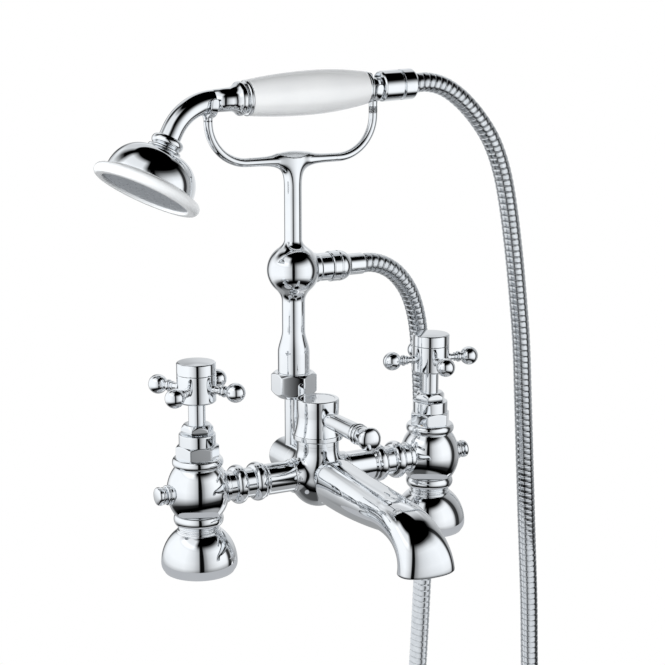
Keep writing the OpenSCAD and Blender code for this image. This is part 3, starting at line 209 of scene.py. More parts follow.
def soften(profile: Array, radius: float = 0.35, count: int = 5, least: float = 14) -> Array:
    """Rounds the corners of a profile.

    A corner C that turns by more than the least angle becomes the curve (1-t)^2 P + 2t(1-t) C + t^2 Q, with
    P and Q on its two sides. A further point beyond P and Q keeps the flat faces flat when shaded smooth.

    Args:
        profile: Points of a profile.
        radius: Distance of P and Q from the corner, cut back on short sides.
        count: Points on each curve.
        least: Turn in degrees below which a corner is left as it is.

    Returns:
        The rounded profile.
    """
    gaps = np.linalg.norm(np.diff(profile, axis=0), axis=1)
    profile = profile[np.concatenate([[True], gaps > 1e-5])]
    before, corner, after = profile[:-2], profile[1:-1], profile[2:]
    back, ahead = before - corner, after - corner
    back_length = np.linalg.norm(back, axis=1, keepdims=True)
    ahead_length = np.linalg.norm(ahead, axis=1, keepdims=True)
    cosine = np.sum(back * ahead, 1, keepdims=True) / (back_length * ahead_length)
    turn = 180 - np.degrees(np.arccos(np.clip(cosine, -1, 1)))
    reach = np.where(turn > least, radius, 0.0)
    p = back / back_length * np.minimum(reach, 0.26 * back_length)
    q = ahead / ahead_length * np.minimum(reach, 0.26 * ahead_length)
    t = np.linspace(0, 1, count)[None, :, None]
    curve = corner[:, None] + (1 - t) ** 2 * p[:, None] + t**2 * q[:, None]
    full = np.concatenate([corner[:, None] + 1.8 * p[:, None], curve, corner[:, None] + 1.8 * q[:, None]], 1)
    out = np.concatenate([profile[:1], full.reshape(-1, 2), profile[-1:]])
    gaps = np.linalg.norm(np.diff(out, axis=0), axis=1)
    return out[np.concatenate([[True], gaps > 1e-5])]


# Surfaces


@dataclass(frozen=True)
class Place:
    """A turn and then a shift, which put a local shape in the part's frame."""

    turn: Array = field(default_factory=lambda: np.eye(3))
    shift: Array = field(default_factory=lambda: np.zeros(3))

    def at(self, local: Array) -> Array:
        """Gives the place of local points."""
        return local @ self.turn.T + self.shift

    def __matmul__(self, inner: Place) -> Place:
        """Joins two places: the inner one acts first."""
        return Place(self.turn @ inner.turn, self.turn @ inner.shift + self.shift)


def shifted(x: float = 0, y: float = 0, z: float = 0) -> Place:
    """Makes a place that only shifts."""
    return Place(np.eye(3), np.array([x, y, z], float))


def turned(axis: Axis, degrees: float) -> Place:
    """Makes a place that turns about an axis, counterclockwise seen from its far end.

    Args:
        axis: Axis of the turn.
        degrees: Angle of the turn.

    Returns:
        The place.
    """
    c, s = math.cos(math.radians(degrees)), math.sin(math.radians(degrees))
    a, b = (axis.value + 1) % 3, (axis.value + 2) % 3
    turn = np.eye(3)
    turn[[a, a, b, b], [a, b, a, b]] = c, -s, s, c
    return Place(turn)


ALONG_X = turned(Axis.Y, 90)
ALONG_LEFT = turned(Axis.Y, -90)
ALONG_FRONT = turned(Axis.X, 90)
ALONG_BACK = turned(Axis.X, -90)


@dataclass
class Surface:
    """Points in millimetres, with the four-sided and three-sided faces that join them."""

    points: Array
    quads: Array
    triangles: Array

    def placed(self, place: Place) -> Surface:
        """Gives the surface in another place."""
        return Surface(place.at(self.points), self.quads, self.triangles)


def joined(*parts: Surface) -> Surface:
    """Puts several surfaces in one.

    Args:
        parts: The surfaces.

    Returns:
        One surface with the points and faces of all.
    """
    starts = np.cumsum([0] + [len(p.points) for p in parts])
    return Surface(
        np.concatenate([p.points for p in parts]),
        np.concatenate([p.quads + s for p, s in zip(parts, starts)]),
        np.concatenate([p.triangles + s for p, s in zip(parts, starts)]),
    )


def tube(grid: Array) -> Surface:
    """Closes a grid of rings to a skin with a pole at each end.

    Row i of the grid is a ring of points round the shape. Neighbouring rings are joined by four-sided faces,
    and the first and the last ring are each closed by a fan about the middle of that ring.

    Args:
        grid: Points of the rings, rows by sides by three.

    Returns:
        The closed surface.
    """
    rows, sides = grid.shape[:2]
    index = np.arange(rows * sides).reshape(rows, sides)
    after = np.roll(index, -1, 1)
    quads = np.stack([index[:-1], after[:-1], after[1:], index[1:]], -1).reshape(-1, 4)
    low = np.full(sides, rows * sides)
    fans = [np.stack([low, after[0], index[0]], 1), np.stack([low + 1, index[-1], after[-1]], 1)]
    poles = grid[[0, -1]].mean(1)
    return Surface(np.concatenate([grid.reshape(-1, 3), poles]), quads, np.concatenate(fans))


def blended(a: Array, b: Array, reach: float) -> Array:
    """Joins two fields with a fillet: the smaller, less reach / 6 times the cube of how near they are."""
    near = np.maximum(reach - np.abs(a - b), 0) / reach
    return np.minimum(a, b) - near**3 * reach / 6


def cast(shape: Field, low: Sequence[float], high: Sequence[float], step: float) -> Surface:
    """Skins the space where a field is below zero.

    Each cell of a grid in which the field changes sign gets one point, and Newton's steps p - f g / |g|^2
    take it to the surface. Each edge of the grid whose ends differ in sign gets a four-sided face, between
    the points of the four cells round it.

    Args:
        shape: Field of the shape, for points with x, y and z last.
        low: Least corner of the grid, outside the shape.
        high: Greatest corner of the grid, outside the shape.
        step: Side of a cell.

    Returns:
        The closed surface.
    """
    axes = (np.arange(a, b, step) for a, b in zip(low, high))
    grid = np.stack(np.meshgrid(*axes, indexing="ij"), -1)
    inside = shape(grid) < 0
    count = np.lib.stride_tricks.sliding_window_view(inside, (2, 2, 2)).sum((3, 4, 5))
    mixed = (count > 0) & (count < 8)
    number = np.cumsum(mixed).reshape(mixed.shape) - 1
    spots = grid[:-1, :-1, :-1][mixed] + step / 2
    probe = 0.02
    for _ in range(6):
        slope = np.stack([shape(spots + d) - shape(spots - d) for d in probe * np.eye(3)], -1) / (2 * probe)
        spots = spots - (shape(spots) / np.sum(slope**2, 1))[:, None] * slope
    faces = []
    for axis in range(3):
        order = (axis, (axis + 1) % 3, (axis + 2) % 3)
        full, cell = inside.transpose(order), number.transpose(order)
        before, after = full[:-1, 1:-1, 1:-1], full[1:, 1:-1, 1:-1]
        ring = np.stack([cell[:, :-1, :-1], cell[:, 1:, :-1], cell[:, 1:, 1:], cell[:, :-1, 1:]], -1)
        faces += [ring[before & ~after], ring[after & ~before][:, ::-1]]
    return Surface(spots, np.concatenate(faces), np.zeros((0, 3), int))


def revolve(profile: Array, sides: int = 96) -> Surface:
    """Turns a profile about Z: x = r cos q, y = r sin q, z = h for q over a full turn.

    Args:
        profile: Points of (radius, height), from the bottom up along the outside.
        sides: Points round the turn.

    Returns:
        The turned surface, closed by its first and last points.
    """
    q = np.linspace(0, 2 * np.pi, sides, endpoint=False)
    radius = np.maximum(profile[:, :1], 1e-4)
    height = np.repeat(profile[:, 1:], sides, 1)
    return tube(np.stack([radius * np.cos(q), radius * np.sin(q), height], -1))


def corner_radius(across: float) -> float:
    """Gives the radius of a hexagon's corners from its width across the flats."""
    return across / 2 / math.cos(math.pi / 6)


def lathe(*stretches: Array, edge: float = 0.35, sides: int = 96, least: float = 14) -> Surface:
    """Turns a profile that is given in stretches, after its corners are rounded.

    Args:
        stretches: Points of (radius, height), in order.
        edge: Radius of the corners.
        sides: Points round the turn.
        least: Smallest change of direction, in degrees, that is rounded.

    Returns:
        The closed surface.
    """
    return revolve(soften(np.concatenate(stretches), edge, least=least), sides)


def hexed(profile: Array, across: float, turn: float, sides: int = 192) -> Surface:
    """Cuts a turned profile by a hexagon bar.

    The bar's radius at angle q is half its width over the largest cosine of q from the six flats, taken as a
    power mean, which rounds its corners. The smaller of that and the profile's radius is a power mean too.

    Args:
        profile: Points of (radius, height) of the turned shape.
        across: Width across the flats.
        turn: Angle of one corner in degrees.
        sides: Points round the turn.

    Returns:
        The closed surface.
    """
    q = np.linspace(0, 2 * np.pi, sides, endpoint=False)
    flats = np.radians(turn + 30 + 60 * np.arange(6))
    cosine = np.maximum(np.cos(q[:, None] - flats), 1e-3)
    bar = across / 2 / np.sum(cosine**CORNER_POWER, 1) ** (1 / CORNER_POWER)
    radius = np.maximum(profile[:, :1], 1e-4)
    both = (radius**-EDGE_POWER + bar**-EDGE_POWER) ** (-1 / EDGE_POWER)
    both = np.where(radius < 0.5 * across * 0.8, radius, both)
    height = np.repeat(profile[:, 1:], sides, 1)
    return tube(np.stack([both * np.cos(q), both * np.sin(q), height], -1))


def sweep(
    path: Array,
    half_width: Array | float,
    half_depth: Array | float | None = None,
    side: Sequence[float] = (0, 1, 0),
    power: float = 2.0,
    sides: int = 48,
) -> Surface:
    """Carries a rounded section along a path.

    At each point the section is side * w * c + normal * d * s, with c and s the cosine and sine of an angle,
    each raised to 2 / power with its sign kept: a power of 2 gives an ellipse, and more gives a squarer one.

    Args:
        path: Points of the path.
        half_width: Half size of the section along the side direction.
        half_depth: Half size across it, or none for a round section.
        side: Direction that stays across the path.
        power: Squareness of the section.
        sides: Points round the section.

    Returns:
        The closed surface.
    """
    tangent = np.gradient(path, axis=0)
    tangent /= np.linalg.norm(tangent, axis=1, keepdims=True)
    across = np.array(side, float) - tangent * (tangent @ np.array(side, float))[:, None]
    across /= np.linalg.norm(across, axis=1, keepdims=True)
    normal = np.cross(tangent, across)
    c, s = squared(sides, power)
    width = np.broadcast_to(half_width, len(path))[:, None, None]
    depth = width if half_depth is None else np.broadcast_to(half_depth, len(path))[:, None, None]
    return tube(path[:, None] + across[:, None] * width * c[:, None] + normal[:, None] * depth * s[:, None])


# Materials


def add_node(
    tree: bpy.types.NodeTree,
    kind: str,
    inputs: dict[str | int, Any] | None = None,
    stops: Sequence[tuple[float, Any]] = (),
    **settings: Any,
) -> bpy.types.Node:
    """Adds a node with its settings and links.

    Args:
        tree: Node tree that gets the node.
        kind: Blender's name of the node type.
        inputs: Socket name or number to a value, or to an output socket to link from.
        stops: Places and colours of a colour ramp, where the node has one.
        settings: Properties of the node.

    Returns:
        The node.
    """
    node = tree.nodes.new(kind)
    for name, value in settings.items():
        setattr(node, name, value)
    for key, value in (inputs or {}).items():
        if isinstance(value, bpy.types.NodeSocket):
            tree.links.new(value, node.inputs[key])
        else:
            node.inputs[key].default_value = value
    for number, (place, colour) in enumerate(stops):
        ramp = node.color_ramp.elements
        stop = ramp[number] if number < 2 else ramp.new(place)
        stop.position = place
        stop.color = colour if isinstance(colour, tuple) else (colour, colour, colour, 1)
    return node


def blank_material(name: str) -> bpy.types.Material:
    """Makes a material with an empty node tree.

    Args:
        name: Name of the material.

    Returns:
        The material.
    """
    material = bpy.data.materials.new(name)
    material.use_nodes = True
    material.node_tree.nodes.clear()
    return material


# Range of the noise that makes the full variation, and the roughness of a glaze
NOISE_SPAN = (0.3, 0.7)
GLAZE_ROUGHNESS = 0.03
# Colour of the shade painted deep in a groove by ambient occlusion, and the open shares of its surroundings
# between which that painted shade fades out
GROOVE_PAINTED_SHADE = "#191a1c"
GROOVE_OPEN = (0.45, 0.92)


@dataclass(frozen=True)
class Finish:
    """What a surface is made of and how it was worked.

    Attributes:
        name: Plain name of the material.
        slot: Slot of the record.
        colour: Main colour.
        second: Colour of its faint variation.
        metallic: One for a metal.
        roughness: Smallest and largest roughness.
        patch_mm: Size of the patches that vary.
        wave_mm: Size of the waves in the surface.
        wave_depth_mm: Depth of those waves.
        coat: Strength of a clear coat or glaze.
        painted_shade_mm: Reach of the ambient occlusion that paints shade into its grooves.
    """

    name: str
    slot: Slot
    colour: str
    second: str
    metallic: float
    roughness: tuple[float, float]
    patch_mm: float
    wave_mm: float
    wave_depth_mm: float
    coat: float = 0.0
    painted_shade_mm: float = 0.0

    def material(self) -> bpy.types.Material:
        """Makes the material, or gives the one already made.

        Returns:
            A material whose colour, roughness and waves come from noise at real sizes.
        """
        known = bpy.data.materials.get(self.name)
        if known:
            return known
        material = blank_material(self.name)
        tree = material.node_tree
        bright, dull = self.roughness
        place = add_node(tree, "ShaderNodeTexCoord").outputs["Object"]
        patches = add_node(
            tree,
            "ShaderNodeTexNoise",
            {"Vector": place, "Scale": 1 / (self.patch_mm * MM), "Detail": 4.0, "Roughness": 0.55},
        ).outputs["Fac"]
        waves = add_node(
            tree,
            "ShaderNodeTexNoise",
            {"Vector": place, "Scale": 1 / (self.wave_mm * MM), "Detail": 1.5, "Roughness": 0.4},
        ).outputs["Fac"]
        colour = add_node(
            tree,
            "ShaderNodeValToRGB",
            {"Fac": patches},
            [(NOISE_SPAN[0], linear(self.second)), (NOISE_SPAN[1], linear(self.colour))],
        ).outputs["Color"]
        # Painted shade: ambient occlusion darkens the colour toward near-black deep in the grooves
        if self.painted_shade_mm:
            reach = {"Distance": self.painted_shade_mm * MM}
            clear = add_node(tree, "ShaderNodeAmbientOcclusion", reach, only_local=True).outputs["AO"]
            open_share = add_node(
                tree,
                "ShaderNodeMapRange",
                {"Value": clear, "From Min": GROOVE_OPEN[0], "From Max": GROOVE_OPEN[1]},
            ).outputs["Result"]
            colour = add_node(
                tree,
                "ShaderNodeMixRGB",
                {"Fac": open_share, "Color1": linear(GROOVE_PAINTED_SHADE), "Color2": colour},
            ).outputs["Color"]
        low, high = NOISE_SPAN
        rough = add_node(
            tree,
            "ShaderNodeMapRange",
            {"Value": patches, "From Min": low, "From Max": high, "To Min": dull, "To Max": bright},
        ).outputs["Result"]
        bump = add_node(
            tree,
            "ShaderNodeBump",
            {"Height": waves, "Strength": 1.0, "Distance": self.wave_depth_mm * MM},
        ).outputs["Normal"]
        shader = add_node(
            tree,
            "ShaderNodeBsdfPrincipled",
            {"Base Color": colour, "Metallic": self.metallic, "Roughness": rough, "Normal": bump},
        )
        if self.coat:
            shader.inputs["Coat Weight"].default_value = self.coat
            shader.inputs["Coat Roughness"].default_value = GLAZE_ROUGHNESS
        add_node(tree, "ShaderNodeOutputMaterial", {"Surface": shader.outputs["BSDF"]})
        return material


# Nickel and chrome on polished brass: a mirror with a faint cool cast and long, shallow polishing waves
CHROME = Finish(
    "chrome_on_polished_brass", Slot.CHROME, "#f3f5f7", "#eceff2", 1.0, (0.012, 0.026), 18.0, 9.0, 0.002
)
# Rolled stainless strip: duller than the plating, with fine draw marks, and shade painted into the gaps
# between its turns
HOSE_STEEL = Finish(
    "rolled_stainless_strip", Slot.HOSE, "#e0e3e6", "#cbcfd3", 1.0, (0.12, 0.19), 3.0, 1.4, 0.002, 0.0, 1.6
)
# Glazed porcelain: a white body under a clear glaze that pools in slow ripples
PORCELAIN = Finish(
    "glazed_porcelain", Slot.PORCELAIN, "#f5f6f6", "#eff0f1", 0.0, (0.3, 0.4), 26.0, 14.0, 0.006, 1.0
)
# Moulded white ABS: glossy, with a faint orange peel
WHITE_ABS = Finish("moulded_white_abs", Slot.RIM, "#f3f4f5", "#eceeef", 0.0, (0.16, 0.24), 12.0, 2.2, 0.003)
# Moulded grey ABS: satin, with a fine spark-eroded grain, drawn coarser than it is so that it shows
GREY_ABS = Finish("moulded_grey_abs", Slot.PLATE, "#9da1a6", "#93979c", 0.0, (0.38, 0.5), 4.0, 0.7, 0.02)
# Sintered alumina: matt off-white with a ground face
ALUMINA = Finish("ground_alumina", Slot.DISC, "#ece8de", "#e0dbd0", 0.0, (0.3, 0.45), 3.0, 0.6, 0.003)
# Nitrile rubber: near-black and dull with a moulding skin
NITRILE = Finish("nitrile_rubber", Slot.RUBBER, "#2b2b2d", "#222224", 0.0, (0.55, 0.7), 4.0, 1.0, 0.01)
# Turned brass: yellow metal with tool marks
BRASS = Finish("turned_brass", Slot.BRASS, "#c9a35a", "#b98f45", 1.0, (0.18, 0.32), 5.0, 0.8, 0.004)
# Zinc-plated screw steel: greyish, half bright
SCREW_STEEL = Finish(
    "zinc_plated_steel", Slot.SCREW, "#b9bcc0", "#a6a9ad", 1.0, (0.22, 0.35), 3.0, 0.8, 0.004
)
# Moulded acetal: milky white and waxy
ACETAL = Finish("moulded_acetal", Slot.FLOW, "#dfe1e2", "#d4d6d8", 0.0, (0.3, 0.42), 5.0, 1.0, 0.004)

FINISHES = (CHROME, HOSE_STEEL, PORCELAIN, WHITE_ABS, GREY_ABS, ALUMINA, NITRILE, BRASS, SCREW_STEEL, ACETAL)


@dataclass
class Piece:
    """A named surface with its finish, the body it rides on and the CAD nodes it stands for."""

    name: str
    surface: Surface
    finish: Finish
    body: Body
    stands_for: tuple[str, ...]

    def mesh(self) -> bpy.types.Object:
        """Makes the mesh object, shaded smooth.

        Returns:
            The object, at the origin, with its place in its mesh.
        """
        mesh = bpy.data.meshes.new(self.name)
        faces = self.surface.quads.tolist() + self.surface.triangles.tolist()
        mesh.from_pydata((self.surface.points * MM).tolist(), [], faces)
        mesh.polygons.foreach_set("use_smooth", np.ones(len(mesh.polygons), bool))
        mesh.materials.append(self.finish.material())
        mesh.update()
        thing = bpy.data.objects.new(self.name, mesh)
        bpy.context.scene.collection.objects.link(thing)
        return thing

    def dress(self) -> bpy.types.Object:
        """Makes the object, hides the CAD nodes it stands for and lets it ride on its body.

        Returns:
            The object.
        """
        thing = self.mesh()
        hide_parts(*self.stands_for)
        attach(thing, self.body.value)
        LOG.info("%s: %d faces on %s", self.name, len(thing.data.polygons), self.body.value)
        return thing


# Sub-assemblies


@dataclass(frozen=True)
class Layout:
    """Where the main axes lie."""

    leg_x: float = 90.0
    bridge_z: float = 55.5
    riser_back: float = 36.0
    sphere_z: float = 191.0
    cradle_z: float = 267.0
    handset_z: float = 311.5
    handset_tilt: float = 2.3
    handset_roll: float = 7.5

    def side(self, hot: bool) -> Place:
        """Gives a leg's place, with local +X toward the body."""
        return shifted(-self.leg_x) if hot else shifted(self.leg_x) @ turned(Axis.Z, 180)

    def upright(self, hot: bool) -> Place:
        """Gives a leg's axis, unturned."""
        return shifted(-self.leg_x if hot else self.leg_x)

    def riser(self) -> Place:
        """Gives the riser's axis."""
        return shifted(y=self.riser_back)

    def outlet(self) -> Place:
        """Gives the axis of the column's hose outlet, from the ball's centre."""
        return shifted(0, self.riser_back, self.sphere_z) @ ALONG_X

    def handset(self) -> Place:
        """Gives the handset's own frame, with +X toward the hose."""
        lie = turned(Axis.Y, -self.handset_tilt) @ turned(Axis.X, -self.handset_roll)
        return shifted(0, self.riser_back, self.handset_z) @ lie


LAYOUT = Layout()


@dataclass
class Leg:
    """A bell-footed leg with its ball, collar, bosses and service plug."""

    foot_r: float = 25.6
    foot_base_r: float = 23.4
    foot_lip_z: float = 6.0
    foot_dome_h: float = 27.0
    neck_r: float = 12.9
    bead_r: float = 16.7
    bead_h: float = 9.4
    bead_z: float = 36.3
    ball_r: float = 21.0
    ball_half_h: float = 24.2
    collar_r: float = 17.0
    collar_half_h: float = 3.5
    top_r: float = 14.9
    top_up: float = 23.3
    inlet_r: float = 12.06
    inlet_depth: float = 14.0
    thread_pitch: float = 1.8
    boss_r: float = 11.0
    boss_out: float = 20.2
    plug_boss_r: float = 6.7
    plug_boss_out: float = 21.6
    plug_r: float = 6.2
    plug_len: float = 6.4
    washer_t: float = 2.0

    @property
    def top_z(self) -> float:
        """Height of the leg's top."""
        return LAYOUT.bridge_z + self.top_up

    def outline(self) -> Array:
        """Works out the casting's profile.

        The foot is a half ellipse over its lip, cut off by fine rings at the neck. Over the neck the radius
        is the largest of the half ellipses of the bead, the ball and the collar. The inlet has ridges.

        Returns:
            Points of the profile, from the inlet's end, round the foot and up to the top.
        """
        thread_z = np.linspace(self.inlet_depth - 1.5, 1.2, 64)
        ridge = 0.55 * np.abs(2 * (thread_z / self.thread_pitch % 1) - 1)
        thread = np.stack([self.inlet_r - ridge, thread_z], 1)
        base = points((self.inlet_r + 0.9, 0), (self.foot_base_r - 0.6, 0), (self.foot_base_r, 0.25))
        lip = arc((self.foot_r - 3.4, self.foot_lip_z), 3.4, 5.4, -58, -4, 14)
        neck_z = self.bead_z - self.bead_h / 2 - 2
        z = mix(self.foot_lip_z, neck_z - 2.2, np.sin(np.linspace(0, np.pi / 2, 60)))
        foot = np.stack([self.foot_r * np.sqrt(1 - ((z - self.foot_lip_z) / self.foot_dome_h) ** 2), z], 1)
        step = bead(self.neck_r + 0.7, self.neck_r + 1.7, neck_z - 1.1, 1.5, 10)
        ring = bead(self.neck_r, self.neck_r + 0.75, neck_z + 0.8, 1.3, 10)
        low = self.bead_z - self.bead_h / 2 + 0.2
        high = self.top_z - 0.4
        z = np.concatenate([low + 6 * ease(np.linspace(0, 0.5, 30))[:-1], np.linspace(low + 3, high, 210)])
        swells = (
            (self.bead_z, self.bead_h / 2, self.neck_r, self.bead_r),
            (LAYOUT.bridge_z, self.ball_half_h, 0.0, self.ball_r),
            (self.top_z - 3.2, self.collar_half_h, self.top_r - 0.7, self.collar_r),
        )
        c, h, core, wide = (np.array(swells)[:, i : i + 1] for i in range(4))
        rise = np.sqrt(np.maximum(0, 1 - ((z - c) / h) ** 2))
        upper = np.stack([np.max(np.where(rise > 0, mix(core, wide, rise), 0), 0), z], 1)
        top = points((self.top_r, self.top_z), (0, self.top_z))
        inlet = points((0, self.inlet_depth), (self.inlet_r - 0.6, self.inlet_depth))
        return np.concatenate([inlet, thread, base, lip, foot, step, ring, upper, soften(top)])

    def casting(self) -> Surface:
        """Joins the turned leg with its two bosses.

        Returns:
            The casting with its bridge toward +X.
        """
        level = shifted(z=LAYOUT.bridge_z)
        bridge_boss = lathe(rod(self.boss_r, 6, self.boss_out), edge=0.5, sides=64)
        plug_boss = lathe(rod(self.plug_boss_r, 8, self.plug_boss_out), edge=0.5, sides=64)
        return joined(
            revolve(self.outline(), 112),
            bridge_boss.placed(level @ ALONG_X),
            plug_boss.placed(level @ ALONG_LEFT),
        )

    def plug(self) -> Surface:
        """Turns the service plug: a shoulder ring, a groove and a domed head.

        Returns:
            The plug toward -X.
        """
        seat = self.plug_boss_out + self.washer_t
        groove, top, r = seat + 3.2, seat + self.plug_len, self.plug_r
        return lathe(
            points((0, seat), (r - 1.6, seat)),
            arc((r - 1.8, seat + 1.6), 1.4, 1.3, -60, 80, 16),
            points((r - 2.0, groove), (r - 0.4, groove + 0.4)),
            arc((r - 1.4, top - 2.2), 1.4, 2.2, -30, 86, 18),
            arc((0, top), r - 1.5, 0.5, 20, 90, 10),
            edge=0.25,
            sides=64,
        ).placed(shifted(z=LAYOUT.bridge_z) @ ALONG_LEFT)

    def washer(self) -> Surface:
        """Turns the round-edged washer under the plug.

        Returns:
            The washer toward -X.
        """
        low, half = self.plug_boss_out, self.washer_t / 2
        edge = arc((self.plug_boss_r - 1.2, low + half), 1.2, half, -90, 90, 16)
        profile = np.concatenate([points((0, low)), edge, points((0, low + 2 * half))])
        return revolve(profile, 64).placed(shifted(z=LAYOUT.bridge_z) @ ALONG_LEFT)

    def pieces(self) -> list[Piece]:
        """Builds both legs, plugs and washers.

        Returns:
            Their pieces.
        """
        hot, cold = LAYOUT.side(True), LAYOUT.side(False)
        casting = self.casting()
        plugs, washers = (joined(one.placed(hot), one.placed(cold)) for one in (self.plug(), self.washer()))
        return [
            Piece("leg_hot", casting.placed(hot), CHROME, Body.ROOT, ("left_leg",)),
            Piece("leg_cold", casting.placed(cold), CHROME, Body.ROOT, ("right_leg",)),
            Piece("service_plugs", plugs, CHROME, Body.ROOT, ("plugs",)),
            Piece("plug_rings", washers, CHROME, Body.ROOT, ("plug_washers",)),
        ]


LEG = Leg()


@dataclass
class Headgear:
    """The hexagon, drum and gland nut on a leg, and the spindle in them."""

    hex_af: float = 25.5
    hex_h: float = 8.6
    drum_r: float = 12.25
    drum_h: float = 7.6
    gland_af: float = 19.0
    gland_h: float = 6.6
    spindle_r: float = 5.7
    spindle_show: float = 14.9
    hot_turn: float = 46.0
    cold_turn: float = 52.0

    @property
    def gland_z(self) -> float:
        """Height of the gland nut's underside."""
        return LEG.top_z + self.hex_h + self.drum_h

    @property
    def hub_z(self) -> float:
        """Height of the handle's underside."""
        return self.gland_z + self.gland_h + self.spindle_show

    def bonnet(self, turn: float) -> Surface:
        """Joins the hexagon with the drum over it.

        Args:
            turn: Angle of one of the hexagon's corners in degrees.

        Returns:
            The headgear outside the leg.
        """
        low, high = LEG.top_z, LEG.top_z + self.hex_h
        wide = corner_radius(self.hex_af) + 1
        flat = self.hex_af / 2 - 0.3
        cone = flare(wide, flat, high - (wide - flat) * NUT_SLOPE, high, 1, 14)
        under = flare(flat + 1.6, wide, low, low + 0.8, 1, 8)
        hexagon = np.concatenate([points((0, low)), under, cone, points((0, high))])
        drum = rod(self.drum_r, high - 1, self.gland_z)
        return joined(hexed(hexagon, self.hex_af, turn), lathe(drum, edge=0.7))

    def gland(self, turn: float) -> Surface:
        """Cuts the gland nut, with a tall cone turned on its corners.

        Args:
            turn: Angle of one of its corners in degrees.

        Returns:
            The nut.
        """
        low, high = self.gland_z, self.gland_z + self.gland_h
        wide = corner_radius(self.gland_af) + 1
        top = self.gland_af / 2 - 0.9
        cone = flare(wide, top, high - self.gland_h * 0.6, high, 1, 16)
        inner = points((self.spindle_r + 0.3, high), (0, high - 0.6))
        return hexed(np.concatenate([points((0, low), (wide, low)), cone, inner]), self.gland_af, turn)

    def spindle(self) -> Surface:
        """Turns the bare spindle between the gland nut and the handle."""
        return lathe(rod(self.spindle_r, self.gland_z - 4, self.hub_z + 1.5), edge=0.2, sides=64)

    def pieces(self) -> list[Piece]:
        """Builds both headgears, both gland nuts and both spindles.

        Returns:
            Their pieces.
        """
        hot, cold = LAYOUT.upright(True), LAYOUT.upright(False)
        spindle = self.spindle()
        bonnets = self.bonnet(self.hot_turn).placed(hot), self.bonnet(self.cold_turn).placed(cold)
        glands = self.gland(self.hot_turn).placed(hot), self.gland(self.cold_turn).placed(cold)
        return [
            Piece("headgear_hot", bonnets[0], CHROME, Body.ROOT, ("left_headgear",)),
            Piece("headgear_cold", bonnets[1], CHROME, Body.ROOT, ("right_headgear",)),
            Piece("gland_nuts", joined(*glands), CHROME, Body.ROOT, ("glands",)),
            Piece("spindle_hot", spindle.placed(hot), CHROME, Body.HOT, ("left_spindle",)),
            Piece("spindle_cold", spindle.placed(cold), CHROME, Body.COLD, ("right_spindle",)),
        ]


HEADGEAR = Headgear()


@dataclass
class Crosshead:
    """A crosshead handle: hub, four ball-ended arms and a bare cap."""

    hub_r: float = 13.0
    hub_h: float = 18.9
    cap_h: float = 9.0
    arm_up: float = 9.0
    arm_r: float = 2.35
    arm_reach: float = 28.9
    ball_r: float = 6.5
    ring_r: float = 3.9
    hot_turn: float = 37.6
    cold_turn: float = 79.5

    def hub(self) -> Surface:
        """Turns the hub, with a bevel below and a fine edge above.

        Returns:
            The hub.
        """
        low, high, r = HEADGEAR.hub_z, HEADGEAR.hub_z + self.hub_h, self.hub_r
        profile = points((0, low), (r - 0.9, low), (r, low + 0.9), (r, high), (0, high))
        return lathe(profile, edge=0.4)

    def cap(self) -> Surface:
        """Turns the cap: a short wall, a rounded shoulder and a faintly domed top.

        Returns:
            The cap, a hair over the hub.
        """
        low = HEADGEAR.hub_z + self.hub_h + 0.1
        wall, rim = low + self.cap_h * 0.8, low + self.cap_h * 0.8 + 0.8
        t = np.linspace(0, 1, 20)
        rise = (low + self.cap_h - rim) * np.sin(np.pi / 2 * t)
        dome = np.stack([(self.hub_r - 1.2) * (1 - t), rim + rise], 1)
        return lathe(
            points((0, low), (self.hub_r - 0.1, low), (self.hub_r, low + 0.3), (self.hub_r, wall)),
            arc((self.hub_r - 1.4, wall - 0.5), 1.4, 1.3, 2, 80, 16),
            dome,
            edge=0.3,
        )

    def arms(self, turn: float) -> Surface:
        """Turns one arm and repeats it four ways.

        Args:
            turn: Angle of the first arm in degrees.

        Returns:
            The four arms.
        """
        ball, r, hub = self.arm_reach - self.ball_r, self.arm_r, self.hub_r
        join = math.degrees(math.asin(3.0 / self.ball_r))
        profile = np.concatenate(
            [
                points((0, hub - 2), (r + 0.7, hub - 2), (r + 0.7, hub + 1.3), (r, hub + 1.7)),
                points((r, ball - 5.3), (r + 0.75, ball - 4.9), (r + 0.75, ball - 3.9), (r, ball - 3.5)),
                bead(r + 0.1, self.ring_r, ball - 1.7, 3.0, 18),
                points((2.9, ball + 0.1)),
                arc((0, self.arm_reach), self.ball_r, self.ball_r, join - 90, 90, 56),
            ]
        )
        one = lathe(profile, edge=0.25, sides=56).placed(ALONG_X)
        level = shifted(z=HEADGEAR.hub_z + self.arm_up)
        return joined(*(one.placed(level @ turned(Axis.Z, turn + a)) for a in (0, 90, 180, 270)))

    def pieces(self) -> list[Piece]:
        """Builds both handles.

        Returns:
            Their pieces.
        """
        hot, cold = LAYOUT.upright(True), LAYOUT.upright(False)
        hub, cap = self.hub(), self.cap()
        return [
            Piece("hub_hot", hub.placed(hot), CHROME, Body.HOT, ("left_hub",)),
            Piece("hub_cold", hub.placed(cold), CHROME, Body.COLD, ("right_hub",)),
            Piece("cap_hot", cap.placed(hot), CHROME, Body.HOT, ("left_cap",)),
            Piece("cap_cold", cap.placed(cold), CHROME, Body.COLD, ("right_cap",)),
            Piece("arms_hot", self.arms(self.hot_turn).placed(hot), CHROME, Body.HOT, ("left_arms",)),
            Piece("arms_cold", self.arms(self.cold_turn).placed(cold), CHROME, Body.COLD, ("right_arms",)),
        ]


